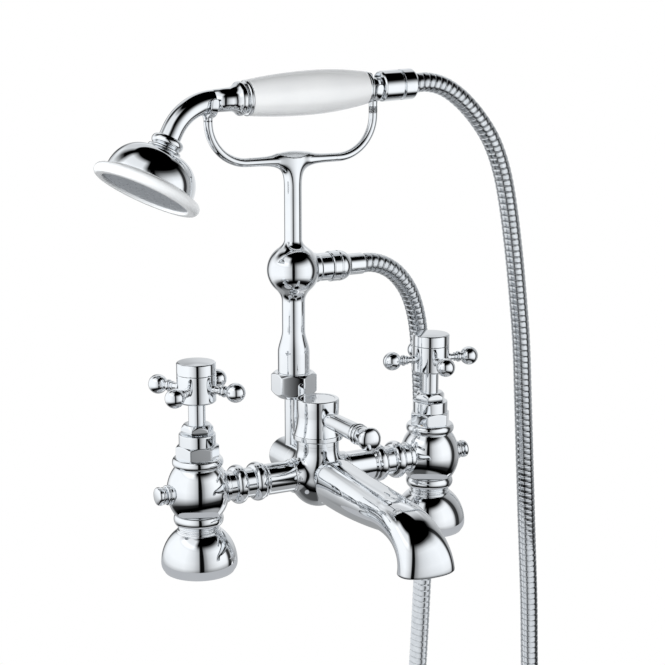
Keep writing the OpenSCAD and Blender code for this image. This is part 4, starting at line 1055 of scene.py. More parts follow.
@dataclass
class Centre:
    """The bridge arms and the body that they carry."""

    bridge_r: float = 10.6
    bead_r: float = 13.3
    bead_w: float = 8.6
    bead_1: float = 28.7
    bead_2: float = 43.0
    belly_r: float = 19.0
    belly_h: float = 20.0
    belly_drop: float = 4.0
    side_end: float = 21.5
    fillet: float = 8.0
    neck_r: float = 14.4
    top_up: float = 23.6
    boss_r: float = 10.8
    boss_out: float = 21.9
    stub_r: float = 12.5
    stub_end: float = 51.0
    stub_cast: float = 42.0
    plug_r: float = 9.0
    grid_step: float = 0.6

    def bridge(self) -> Surface:
        """Turns a bridge arm: a neck, two beads between fine fillets, a step and the plain arm.

        Returns:
            The arm from its leg toward +X.
        """
        neck, half = self.bridge_r - 0.5, self.bead_w / 2
        start, end = LEG.boss_out + 0.1, LAYOUT.leg_x - 12.5
        step = self.bridge_r + 1.1
        return lathe(
            points((0, start), (neck, start), (neck, self.bead_1 - half)),
            bead(neck - 0.4, self.bead_r, self.bead_1, self.bead_w, 36)[1:-1],
            points((neck, self.bead_1 + half), (neck, self.bead_2 - half)),
            bead(neck - 0.4, self.bead_r, self.bead_2, self.bead_w, 36)[1:-4],
            points((step, self.bead_2 + half - 0.4), (step, self.bead_2 + half + 0.6)),
            points((self.bridge_r, self.bead_2 + half + 2.0), (self.bridge_r, end), (0, end)),
            edge=0.3,
            sides=80,
        ).placed(shifted(z=LAYOUT.bridge_z) @ ALONG_X)

    def core(self, at: Array) -> Array:
        """Gives the field of the body's casting: a pear with its side bosses and rear stub in round fillets.

        The pear's lower half is an ellipsoid, and over it a cosine's ease takes the radius up to the neck.

        Args:
            at: Points, with x, y and z last.

        Returns:
            About the distance to the surface, below zero inside.
        """
        x, y, z = np.moveaxis(at, -1, 0)
        level, high = z - LAYOUT.bridge_z, self.top_up - 0.8
        r, up = np.hypot(x, y), level + self.belly_drop
        lower = (np.hypot(r / self.belly_r, up / self.belly_h) - 1) * self.belly_r
        climb = np.clip(up / (high - 5.2 + self.belly_drop), 0, 1)
        pear = np.where(up < 0, lower, r - mix(self.belly_r, self.neck_r, ease(climb)))
        pear = np.maximum(pear, level - high)
        sides = np.maximum(np.hypot(y, level) - self.bridge_r - 0.75, np.abs(x) - self.side_end + 0.9)
        half = self.stub_cast / 2
        stub = np.maximum(np.hypot(x, level) - self.stub_r, np.abs(y - half) - half)
        return blended(blended(pear, sides, self.fillet), stub, self.fillet)

    def body(self) -> Surface:
        """Joins the casting with the turned ends of its neck, bosses and stub.

        Returns:
            The body.
        """
        z = LAYOUT.bridge_z
        skin = cast(self.core, (-24, -22, z - 27), (24, 45, z + 27), self.grid_step)
        level, high, wide = shifted(z=z), self.top_up, self.neck_r + 0.02
        crown = points((0, high - 5), (wide - 0.3, high - 5), (wide, high - 3), (wide, high), (0, high))
        boss = rod(self.boss_r, 4, self.boss_out)
        out, wide = self.side_end, self.bridge_r + 0.78
        cuff = points((0, 15), (wide - 0.4, 15), (wide, 17.5), (wide, out), (0, out))
        end, wide, plug = self.stub_end, self.stub_r + 0.03, self.plug_r
        lead = points((0, 24), (wide - 0.4, 24), (wide, 27), (wide, end))
        tail = points((plug, end), (plug, end - 2), (0, end - 2))
        side = lathe(cuff, edge=0.3, sides=80, least=5)
        sides = [side.placed(level @ turned(Axis.Z, angle) @ ALONG_X) for angle in (0, 180)]
        return joined(
            skin,
            lathe(crown, edge=0.3, sides=112, least=5).placed(level),
            lathe(boss, sides=64).placed(level @ ALONG_FRONT),
            lathe(lead, tail, edge=0.6, sides=80, least=5).placed(level @ ALONG_BACK),
            *sides,
        )

    def pieces(self) -> list[Piece]:
        """Builds both bridge arms and the body.

        Returns:
            Their pieces.
        """
        arm = self.bridge()
        return [
            Piece("bridge_hot", arm.placed(LAYOUT.side(True)), CHROME, Body.ROOT, ("left_bridge",)),
            Piece("bridge_cold", arm.placed(LAYOUT.side(False)), CHROME, Body.ROOT, ("right_bridge",)),
            Piece("body_casting", self.body(), CHROME, Body.ROOT, ("body",)),
        ]


CENTRE = Centre()


@dataclass
class Spout:
    """The bath spout: rounded-square sections that run forward, bend down and widen to an open mouth."""

    root: float = 22.0
    reach: float = 143.5
    bend: float = 42.5
    mouth_z: float = 30.0
    half_w: float = 15.4
    half_h: float = 16.2
    bend_half_h: float = 11.8
    mouth_half_w: float = 19.3
    wall: float = 2.8
    root_len: float = 6.0
    drop: float = 0.6
    sag: float = 1.0
    power: float = 2.25

    def stations(self) -> Array:
        """Works out the sections as way out, height, half width, half height and tilt.

        The root swells on a quarter sine, the run is straight, and in the bend the way out follows a power of
        the sine of the angle and the height a power of its cosine.

        Returns:
            One row for each section.
        """
        z = LAYOUT.bridge_z
        knee = self.reach - self.bend
        q = np.linspace(0, np.pi / 2, 16)
        root = np.stack(
            [
                self.root + self.root_len * (1 - np.cos(q)),
                z - self.sag * np.sin(q),
                mix(self.half_w - 4.4, self.half_w, np.sin(q)),
                mix(self.half_h - 4.6, self.half_h, np.sin(q)),
                np.zeros(16),
            ],
            1,
        )
        t = np.linspace(0, 1, 36)[1:]
        run_h = mix(self.half_h, self.bend_half_h, t**1.7)
        top = mix(z - self.sag + self.half_h, z - self.drop + self.bend_half_h, t)
        run = np.stack(
            [
                mix(self.root + self.root_len, knee, t),
                top - run_h,
                self.half_w - 0.4 * t,
                run_h,
                np.zeros(35),
            ],
            1,
        )
        q = np.linspace(0, np.pi / 2, 60)[1:]
        bend = np.stack(
            [
                knee + self.bend * np.sin(q) ** 0.92,
                self.mouth_z + (z - self.drop - self.mouth_z) * np.maximum(np.cos(q), 0) ** 0.92,
                mix(self.half_w - 0.4, self.mouth_half_w, (q / (np.pi / 2)) ** 1.5),
                np.full(59, self.bend_half_h),
                q,
            ],
            1,
        )
        return np.concatenate([root, run, bend])

    def rings(self, stations: Array, inset: Array | float, sides: int = 96) -> Array:
        """Samples the sections: half width and half height times a cosine and sine of power 2 / power.

        Args:
            stations: Rows of way out, height, half width, half height and tilt.
            inset: How far each section lies inside the outer skin.
            sides: Points round a section.

        Returns:
            Rings of points.
        """
        c, s = squared(sides, self.power)
        out, up, w, h, tilt = (stations[:, i : i + 1] for i in range(5))
        inset = np.broadcast_to(inset, len(stations))[:, None]
        rise = (h - inset) * s
        return np.stack([(w - inset) * c, -out - rise * np.sin(tilt), up + rise * np.cos(tilt)], -1)

    def skin(self) -> Surface:
        """Joins the outer skin, a rounded lip and the inner skin.

        Returns:
            The hollow spout, open at its mouth.
        """
        rows = self.stations()
        q = np.linspace(0, np.pi, 9)[1:-1]
        lip = np.repeat(rows[-1:], 7, 0)
        lip[:, 1] -= 0.9 * np.sin(q)
        inset = self.wall / 2 * (1 - np.cos(q))
        skins = (rows, 0.0), (lip, inset), (rows[::-1], self.wall)
        return tube(np.concatenate([self.rings(*skin) for skin in skins])[:, ::-1])

    def pieces(self) -> list[Piece]:
        """Builds the spout."""
        return [Piece("bath_spout", self.skin(), CHROME, Body.ROOT, ("spout",))]


@dataclass
class Diverter:
    """The diverter's cap and its ball-ended lever."""

    cap_r: float = 14.6
    flange_r: float = 17.1
    flange_h: float = 3.4
    height: float = 28.1
    lever_up: float = 17.4
    lever_r: float = 5.9
    reach: float = 72.0
    ball_r: float = 8.0
    dome_h: float = 4.6

    def cap(self) -> Surface:
        """Turns the cap: a flange, a bell that narrows to the drum and a flat top in a fine rim.

        Returns:
            The cap.
        """
        low = LAYOUT.bridge_z + CENTRE.top_up + 0.6
        bell, top = low + self.flange_h, low + self.height
        curve = flare(self.cap_r - 0.4, self.flange_r - 0.6, low + 16.5, bell, 1.9, 28)[::-1]
        return lathe(
            points((0, low), (self.flange_r - 0.2, low), (self.flange_r, low + 0.4)),
            points((self.flange_r, bell - 0.3), (self.flange_r - 0.3, bell)),
            curve,
            points((self.cap_r, low + 22), (self.cap_r, top - 0.6), (self.cap_r - 0.6, top)),
            points((self.cap_r - 2.6, top), (self.cap_r - 3.0, top - 0.35), (0, top - 0.35)),
            edge=0.35,
        )

    def lever(self) -> Surface:
        """Turns the lever: a rounded root, a long stem, a groove, two beads and a domed ball.

        Returns:
            The lever toward -Y.
        """
        root = self.cap_r + 0.2
        neck = self.reach - self.ball_r - 10.5
        r, big = self.lever_r, self.ball_r
        profile = np.concatenate(
            [
                points((0, root - 4), (r * 0.5, root - 4)),
                arc((0, root + 8), r, 9, -62, 0, 26),
                points((r + 0.35, neck), (r - 0.5, neck + 0.7), (r - 0.5, neck + 1.6)),
                bead(r - 0.9, big - 0.9, neck + 3.2, 3.3, 20),
                bead(r - 0.9, big - 1.3, neck + 6.8, 2.7, 20),
                points((r - 0.2, neck + 8.4)),
                points((big - 0.4, self.reach - 2.0)),
                arc((0, self.reach), big, self.dome_h, 0, 90, 40),
            ]
        )
        level = shifted(z=LAYOUT.bridge_z + CENTRE.top_up + self.lever_up)
        return lathe(profile, edge=0.2, sides=72).placed(level @ ALONG_FRONT)

    def pieces(self) -> list[Piece]:
        """Builds the cap and the lever.

        Returns:
            Their pieces.
        """
        return [
            Piece("divert_cap", self.cap(), CHROME, Body.DIVERTER, ("diverter_cap",)),
            Piece("divert_lever", self.lever(), CHROME, Body.DIVERTER, ("diverter_lever",)),
        ]


@dataclass
class Column:
    """The riser pipe, the union nut and the column with its ball and hose outlet."""

    pipe_r: float = 6.6
    union_up: float = 45.5
    union_af: float = 28.0
    union_h: float = 17.5
    union_turn: float = 31.0
    foot_r: float = 11.15
    foot_h: float = 14.0
    waist_r: float = 8.05
    taper_h: float = 16.0
    ball_r: float = 18.3
    join_low_r: float = 12.5
    join_high_r: float = 10.3
    join_low_h: float = 9.2
    join_high_h: float = 7.5
    stem_r: float = 6.1
    outlet_r: float = 9.8
    outlet_out: float = 8.8

    @property
    def union_z(self) -> float:
        """Height of the union nut's underside."""
        return LAYOUT.bridge_z + self.union_up

    @property
    def top_z(self) -> float:
        """Height where the column ends and the cradle's stem starts."""
        return LAYOUT.sphere_z + math.sqrt(self.ball_r**2 - self.join_high_r**2) + self.join_high_h

    def pipe(self) -> Surface:
        """Turns the riser pipe between the body's stub and the nut."""
        return lathe(rod(self.pipe_r, LAYOUT.bridge_z + 4, self.union_z + 5), edge=0.2, sides=64)

    def nut(self) -> Surface:
        """Cuts the union nut, coned below and chamfered above.

        Returns:
            The nut.
        """
        low, high = self.union_z, self.union_z + self.union_h
        wide = corner_radius(self.union_af) + 0.3
        flat = self.union_af / 2 - 0.3
        under = flare(self.union_af / 2 - 2.6, wide, low, low + 4.4, 1, 18)
        over = flare(wide, flat, high - (wide + 0.7 - flat) * NUT_SLOPE, high, 1, 12)
        inner = points((self.foot_r + 0.2, high), (self.foot_r + 0.1, high - 1), (0, high - 1))
        return hexed(np.concatenate([points((0, low)), under, over, inner]), self.union_af, self.union_turn)

    def shaft(self) -> Surface:
        """Joins the tapered column, its ball and the hose outlet.

        The foot narrows to the waist on half a cosine wave, and the waist flares to the ball as a power.

        Returns:
            The column, on the riser's axis.
        """
        z = LAYOUT.sphere_z
        low, taper = self.union_z + 6, self.union_z + self.union_h + self.foot_h
        t = np.linspace(0, 1, 40)
        narrow = np.stack([mix(self.foot_r, self.waist_r, ease(t)), mix(taper, taper + self.taper_h, t)], 1)
        ball_low = z - math.sqrt(self.ball_r**2 - self.join_low_r**2)
        ball_high = z + math.sqrt(self.ball_r**2 - self.join_high_r**2)
        low_angle = -math.degrees(math.acos(self.join_low_r / self.ball_r))
        high_angle = math.degrees(math.acos(self.join_high_r / self.ball_r))
        profile = np.concatenate(
            [
                points((0, low), (self.foot_r, low)),
                narrow,
                flare(self.waist_r, self.join_low_r, ball_low - self.join_low_h, ball_low, 2.2, 30),
                arc((0, z), self.ball_r, self.ball_r, low_angle, high_angle, 90)[1:],
                flare(self.stem_r - 0.15, self.join_high_r, self.top_z - 0.4, ball_high, 2.2, 28)[::-1][1:],
                points((self.stem_r - 0.3, self.top_z + 0.2), (0, self.top_z + 0.2)),
            ]
        )
        r, end, step = self.outlet_r, self.ball_r + self.outlet_out, self.ball_r + 0.6
        outlet = points((0, 6), (r + 0.6, 6), (r + 0.6, step - 1.4), (r, step), (r, end), (0, end))
        spur = lathe(outlet, edge=0.5, sides=72).placed(shifted(z=z) @ ALONG_X)
        return joined(lathe(profile, edge=0.15, sides=112, least=40), spur)

    def pieces(self) -> list[Piece]:
        """Builds the pipe, the nut and the column.

        Returns:
            Their pieces.
        """
        place = LAYOUT.riser()
        return [
            Piece("riser_pipe", self.pipe().placed(place), CHROME, Body.ROOT, ("lower_riser",)),
            Piece("riser_union", self.nut().placed(place), CHROME, Body.ROOT, ("union_nut",)),
            Piece("ball_column", self.shaft().placed(place), CHROME, Body.ROOT, ("column",)),
        ]


COLUMN = Column()


@dataclass
class Handset:
    """The porcelain-gripped handset with its swan arm, and where it lies in the cradle."""

    swan_r: float = 7.4
    swan_start: float = 59.0
    swan_bend: float = 36.0
    swan_angle: float = 58.0
    swan_end: float = 9.5
    collar_r: float = 11.6
    grip_front: float = 33.4
    grip_back: float = 55.5
    grip_r: float = 15.05
    grip_front_r: float = 12.2
    grip_back_r: float = 11.3
    grip_peak: float = 13.0
    core_r: float = 6.5
    neck_len: float = 8.5
    ring_front_t: float = 3.1
    ring_back_t: float = 3.6
    nut_r: float = 10.7
    nut_len: float = 27.0
    nut_line: float = 15.5
    nut_bore_r: float = 7.1

    @property
    def collar_back(self) -> float:
        """Way along the axis of the collar's back face."""
        return -self.grip_front - self.ring_front_t

    @property
    def nut_start(self) -> float:
        """Way along the axis where the hose nut starts."""
        return self.grip_back + self.ring_back_t + self.neck_len

    @property
    def nut_end(self) -> float:
        """Way along the axis where the hose nut ends."""
        return self.nut_start + self.nut_len

    def swan(self, count: int = 56) -> Array:
        """Works out the swan arm's line: an arc of a circle and then a straight end.

        Args:
            count: Points on the bend.

        Returns:
            Points in the handset's frame.
        """
        a = np.radians(np.linspace(0, self.swan_angle, count))
        bend = np.stack(
            [-self.swan_start - self.swan_bend * np.sin(a), 0 * a, -self.swan_bend * (1 - np.cos(a))], 1
        )
        way = np.linspace(0, self.swan_end + 1.0, 6)[1:, None]
        ahead = np.array([-math.cos(a[-1]), 0, -math.sin(a[-1])])
        return np.concatenate([bend, bend[-1] + way * ahead])

    def rose_place(self) -> Place:
        """Gives the rose's own frame: the arm's end, with +Z along the spray.

        Returns:
            The frame.
        """
        angle = math.radians(self.swan_angle)
        end = self.swan()[-1] + np.array([math.cos(angle), 0, math.sin(angle)])
        return LAYOUT.handset() @ shifted(*end) @ turned(Axis.Y, -90 - self.swan_angle)

    def arm(self) -> Surface:
        """Carries one round section along the collar, the bend and the straight end.

        On the collar the section's radius follows the collar's profile, and past it the radius stays.

        Returns:
            The arm in the handset's frame.
        """
        back, lip = self.collar_back, self.collar_r - 1.1
        profile = np.concatenate(
            [
                points((self.swan_r, -self.swan_start), (self.swan_r + 0.6, back - 11.2)),
                flare(self.swan_r + 0.6, self.collar_r - 1, back - 11, back - 5.2, 2.1, 30),
                arc((self.collar_r - 2.1, back - 3.1), 2.1, 2.7, -60, 84, 26),
                points((lip, back - 0.3), (lip, back)),
            ]
        )
        ends = points((0, -self.swan_start)), points((0, back))
        collar = revolve(np.concatenate([ends[0], soften(profile, 0.25), ends[1]]), 80)
        lead = np.array([[0.6 - self.swan_start, 0, 0], [-self.swan_start, 0, 0]])
        bent = sweep(np.concatenate([lead, self.swan()[1:]]), self.swan_r, sides=80)
        return joined(collar.placed(ALONG_X), bent)

    def grip_ring(self, front: bool) -> Surface:
        """Turns a chrome ring at one end of the grip.

        Args:
            front: True for the ring on the rose's side.

        Returns:
            The ring in the handset's frame.
        """
        if front:
            low, high = self.collar_back, self.collar_back + self.ring_front_t
            profile = np.concatenate(
                [
                    points((0, low), (self.collar_r - 1.6, low)),
                    arc((self.grip_front_r - 1.5, high - 1.3), 1.5, 1.5, -75, 60, 18),
                    points((self.grip_front_r - 0.6, high), (0, high)),
                ]
            )
        else:
            low, high = self.grip_back, self.grip_back + self.ring_back_t
            seat = self.grip_back_r - 0.5
            profile = np.concatenate(
                [
                    points((0, low), (seat, low), (seat, low + 0.8)),
                    arc((self.grip_back_r - 2, low + 2.1), 1.7, 1.4, -50, 85, 18),
                    points((0, high)),
                ]
            )
        return lathe(profile, edge=0.2, sides=80).placed(ALONG_X)

    def grip(self) -> Surface:
        """Turns the grip: its radius falls as the square of the distance from its widest place.

        Returns:
            The grip in the handset's frame.
        """
        low, high = -self.grip_front, self.grip_back - 0.05
        front = flare(self.grip_r, self.grip_front_r - 0.1, self.grip_peak, low, 2, 48)[::-1]
        back = flare(self.grip_r, self.grip_back_r, self.grip_peak, high, 2, 48)[1:]
        return lathe(points((0, low)), front, back, points((0, high)), edge=0.5).placed(ALONG_X)

    def neck(self) -> Surface:
        """Turns the bare core pipe that lies in the fork."""
        return revolve(rod(self.core_r, self.grip_back + 1, self.nut_start + 2), 64).placed(ALONG_X)

    def nut(self) -> Surface:
        """Turns the upper hose nut: a plain barrel with one fine line and a chamfered end.

        Returns:
            The nut in the handset's frame.
        """
        r, bore, start, end = self.nut_r, self.nut_bore_r, self.nut_start, self.nut_end
        line = start + self.nut_line
        profile = points(
            (0, start), (r - 1, start), (r, start + 1), (r, line - 0.9), (r - 1.5, line - 0.7),
            (r - 1.5, line + 0.7), (r, line + 0.9), (r, end - 2), (r - 1.6, end),
            (bore, end), (bore, end - 3), (0, end - 3),
        )
        return lathe(profile, edge=0.3, sides=80).placed(ALONG_X)

    def pieces(self) -> list[Piece]:
        """Builds the arm, rings, grip, neck and nut.

        Returns:
            Their pieces.
        """
        place = LAYOUT.handset()
        body = Body.HANDSET
        return [
            Piece("swan_arm", self.arm().placed(place), CHROME, body, ("handset_arm",)),
            Piece("front_ring", self.grip_ring(True).placed(place), CHROME, body, ("grip_ring_front",)),
            Piece("back_ring", self.grip_ring(False).placed(place), CHROME, body, ("grip_ring_back",)),
            Piece("porcelain_grip", self.grip().placed(place), PORCELAIN, body, ("grip",)),
            Piece("core_neck", self.neck().placed(place), CHROME, body, ("handset_core",)),
            Piece("upper_hose_nut", self.nut().placed(place), CHROME, body, ("hose_nut_top",)),
        ]


HANDSET = Handset()


@dataclass
class Rose:
    """The spray head: a ringed nut, a chrome bell and a white rim round the spray plate."""

    nut_r: float = 11.4
    bell_r: float = 30.2
    bell_h: float = 21.6
    bell_top_r: float = 11.5
    bell_v: float = 6.4
    rim_r: float = 37.0
    rim_h: float = 8.8
    plate_r: float = 30.0
    plate_depth: float = 3.8

    @property
    def rim_v(self) -> float:
        """Way along the axis of the rim's start."""
        return self.bell_v + self.bell_h

    def nut(self) -> Surface:
        """Turns the two rounded rings of the nut.

        Returns:
            The nut.
        """
        r = self.nut_r
        return lathe(
            points((0, -1.6), (r - 2.6, -1.6)),
            arc((r - 3.4, -0.6), 2.9, 3.2, -76, 70, 28),
            arc((r - 1.0, 4.5), 1.0, 1.1, -90, 90, 16),
            points((r - 1.6, self.bell_v + 0.4), (0, self.bell_v + 0.4)),
            edge=0.2,
            sides=80,
        )

    def bell(self) -> Surface:
        """Turns the bell: a quarter of an ellipse from its top ring to its base.

        Returns:
            The bell.
        """
        v = self.rim_v
        return lathe(
            points((0, self.bell_v - 0.4), (self.bell_top_r - 2.2, self.bell_v - 0.4)),
            arc((self.bell_top_r, v), self.bell_r - self.bell_top_r, -self.bell_h, 90, 4, 60),
            points((self.bell_r, v - 0.8), (self.bell_r, v), (0, v)),
            edge=0.3,
            sides=128,
        )

    def rim(self) -> Surface:
        """Turns the flared white rim, hollow where the spray plate lies.

        Returns:
            The rim.
        """
        low, end, inner = self.rim_v + 0.05, self.rim_v + self.rim_h, self.plate_r + 0.15
        floor = end - self.plate_depth
        return lathe(
            points((0, low), (self.bell_r + 0.3, low), (self.bell_r + 0.5, low + 0.3)),
            arc((self.rim_r - 3.4, end - 3.6), 3.4, 3.6, -72, 86, 36),
            points((inner + 0.6, end), (inner, end - 0.5), (inner, floor), (0, floor)),
            edge=0.3,
            sides=128,
        )

    def pieces(self) -> list[Piece]:
        """Builds the nut, the bell and the rim.

        Returns:
            Their pieces.
        """
        place = HANDSET.rose_place()
        return [
            Piece("rose_rings", self.nut().placed(place), CHROME, Body.HANDSET, ("rose_nut",)),
            Piece("rose_dome", self.bell().placed(place), CHROME, Body.HANDSET, ("rose_bell",)),
            Piece("rose_lip", self.rim().placed(place), WHITE_ABS, Body.HANDSET, ("rose_rim",)),
        ]


@dataclass
class Cradle:
    """The cradle's stem, its yoke and the two forks that hold the handset."""

    hump: float = 2.6
    hump_w: float = 14.0
    hump_depth: float = 0.5
    bar_half: float = 33.0
    stem_depth: float = 4.7
    stem_fade: float = 18.0
    head_fillet: float = 13.0
    yoke_r: float = 3.0
    yoke_bend: float = 28.0
    yoke_front: float = 62.5
    post_in: float = 0.7
    fork_wall: float = 2.8
    fork_w: float = 5.5
    prong_low: float = 3.0
    prong_tall: float = 10.0
    clear: float = 0.5
    front_lean: float = 9.0
    back_lean: float = 7.0
    grid_step: float = 0.55

    @property
    def back_x(self) -> float:
        """Way along X of the fork on the hose's side."""
        return HANDSET.grip_back + HANDSET.ring_back_t + HANDSET.neck_len / 2

    @property
    def post_x(self) -> float:
        """Way along X of the yoke's post under that fork."""
        return self.back_x - self.post_in

    def swell(self, x: Array) -> Array:
        """Gives the bar's radius at x, which swells toward the stem as a bell curve."""
        return self.yoke_r + self.hump * np.exp(-((x / self.hump_w) ** 2))

    def head(self, at: Array) -> Array:
        """Gives the field of the stem and the middle of the bar, joined by a wide fillet.

        Args:
            at: Points, with x, y and z last.

        Returns:
            About the distance to the surface, below zero inside.
        """
        x, y, z = np.moveaxis(at, -1, 0)
        level = z - LAYOUT.cradle_z
        deep = mix(COLUMN.stem_r, self.stem_depth, ease(np.clip(1 + level / self.stem_fade, 0, 1)))
        stem = (np.hypot(x / COLUMN.stem_r, y / deep) - 1) * deep
        stem = np.maximum(stem, np.maximum(level, COLUMN.top_z - 5 - z))
        tall = self.swell(x) + 0.02
        thick = mix(self.yoke_r + 0.02, tall, self.hump_depth)
        bar = np.maximum((np.hypot(y / thick, level / tall) - 1) * thick, np.abs(x) - self.bar_half)
        return blended(stem, bar, self.head_fillet)

    def stem(self) -> Surface:
        """Casts the stem with the middle of the bar.

        Returns:
            The stem, on the riser's axis.
        """
        return cast(self.head, (-35, -12, COLUMN.top_z - 7), (35, 12, LAYOUT.cradle_z + 9), self.grid_step)

    def yoke(self) -> Surface:
        """Carries a round bar along the yoke's line: up, a bend, level, a bend and up.

        Returns:
            The yoke, on the riser's axis.
        """
        z, b = LAYOUT.cradle_z, self.yoke_bend
        left, right = -self.yoke_front, self.post_x
        a = np.radians(np.linspace(90, 0, 36))
        corner_l = np.stack([left + b - b * np.sin(a), 0 * a, z + b - b * np.cos(a)], 1)
        x = np.linspace(left + b, right - b, 72)[1:-1]
        level = np.stack([x, 0 * x, np.full(70, z)], 1)
        corner_r = np.stack([right - b + b * np.sin(a[::-1]), 0 * a, z + b - b * np.cos(a[::-1])], 1)
        end_l, end_r = np.array([[left, 0, z + b + 6]]), np.array([[right, 0, z + b + 6]])
        path = np.concatenate([end_l, corner_l, level, corner_r, end_r])
        radius = np.where(path[:, 2] < z + 1, self.swell(path[:, 0]), self.yoke_r)
        return sweep(path, radius, sides=56)

    def fork(self, r: float, front: float, back: float) -> Surface:
        """Carries a rounded strip along a U: down the front prong, round below and up the back prong.

        The strip's width falls to nothing over its last half width, which rounds the tops of the prongs.

        Args:
            r: Inner radius of the U.
            front: Height of the front prong over the axis.
            back: Height of the back prong over the axis.

        Returns:
            The fork round the local X axis.
        """
        mid = r + self.fork_wall / 2
        a = np.radians(np.linspace(180, 360, 48))
        down = np.stack([np.full(24, -mid), mix(front, 0.0, ease(np.linspace(0, 1, 24)))], 1)
        low = np.stack([mid * np.cos(a), mid * np.sin(a)], 1)
        up = np.stack([np.full(24, mid), mix(0.0, back, ease(np.linspace(0, 1, 24)))], 1)
        flat = np.concatenate([down, low[1:-1], up])
        path = np.stack([np.zeros(len(flat)), flat[:, 0], flat[:, 1]], 1)
        way = np.concatenate([[0], np.cumsum(np.linalg.norm(np.diff(path, axis=0), axis=1))])
        near = np.minimum(way, way[-1] - way) / (self.fork_w / 2)
        half = self.fork_w / 2 * np.sqrt(np.clip(1 - (1 - np.clip(near, 0, 1)) ** 2, 0.0004, 1))
        thick = self.fork_wall / 2 * np.clip(near * 6, 0.1, 1) ** 0.5
        return sweep(path, half, thick, side=(1, 0, 0), power=5.0, sides=40)

    def forks(self) -> tuple[Surface, Surface]:
        """Sets the forks on the yoke's arms, each leaning as the handset lies in it.

        Returns:
            The fork on the rose's side and the one on the hose's side, on the riser's axis.
        """
        tilt = LAYOUT.handset_tilt
        front_x = 1 - self.yoke_front
        lean = math.degrees(math.asin(max(0.0, (-front_x - HANDSET.swan_start) / HANDSET.swan_bend)))
        drop = HANDSET.swan_bend * (1 - math.cos(math.radians(lean)))
        ends = (
            (front_x, -self.yoke_front, HANDSET.swan_r, self.prong_low, lean + tilt - self.front_lean, drop),
            (self.back_x, self.post_x, HANDSET.core_r, self.prong_tall, tilt - self.back_lean, 0.0),
        )
        out = []
        for x, post, r, back, angle, sink in ends:
            z = LAYOUT.handset_z + x * math.tan(math.radians(tilt)) - sink
            fork = self.fork(r + self.clear, self.prong_low, back)
            fork = fork.placed(shifted(x, 0, z - self.clear) @ turned(Axis.Y, -angle))
            low, high, wide = LAYOUT.cradle_z + self.yoke_bend, z - r - 1.4, self.yoke_r
            upright = points((0, low), (wide, low), (wide, high - 3), (wide + 0.9, high), (0, high))
            out.append(joined(fork, lathe(upright, edge=1.2, sides=56).placed(shifted(post))))
        return out[0], out[1]

    def pieces(self) -> list[Piece]:
        """Builds the stem with its yoke, and the forks.

        Returns:
            Their pieces.
        """
        place = LAYOUT.riser()
        yoke = joined(self.stem(), self.yoke()).placed(place)
        front, back = self.forks()
        return [
            Piece("cradle_yoke", yoke, CHROME, Body.ROOT, ("cradle",)),
            Piece("fork_rose_side", front.placed(place), CHROME, Body.ROOT, ("left_fork",)),
            Piece("fork_hose_side", back.placed(place), CHROME, Body.ROOT, ("right_fork",)),
        ]


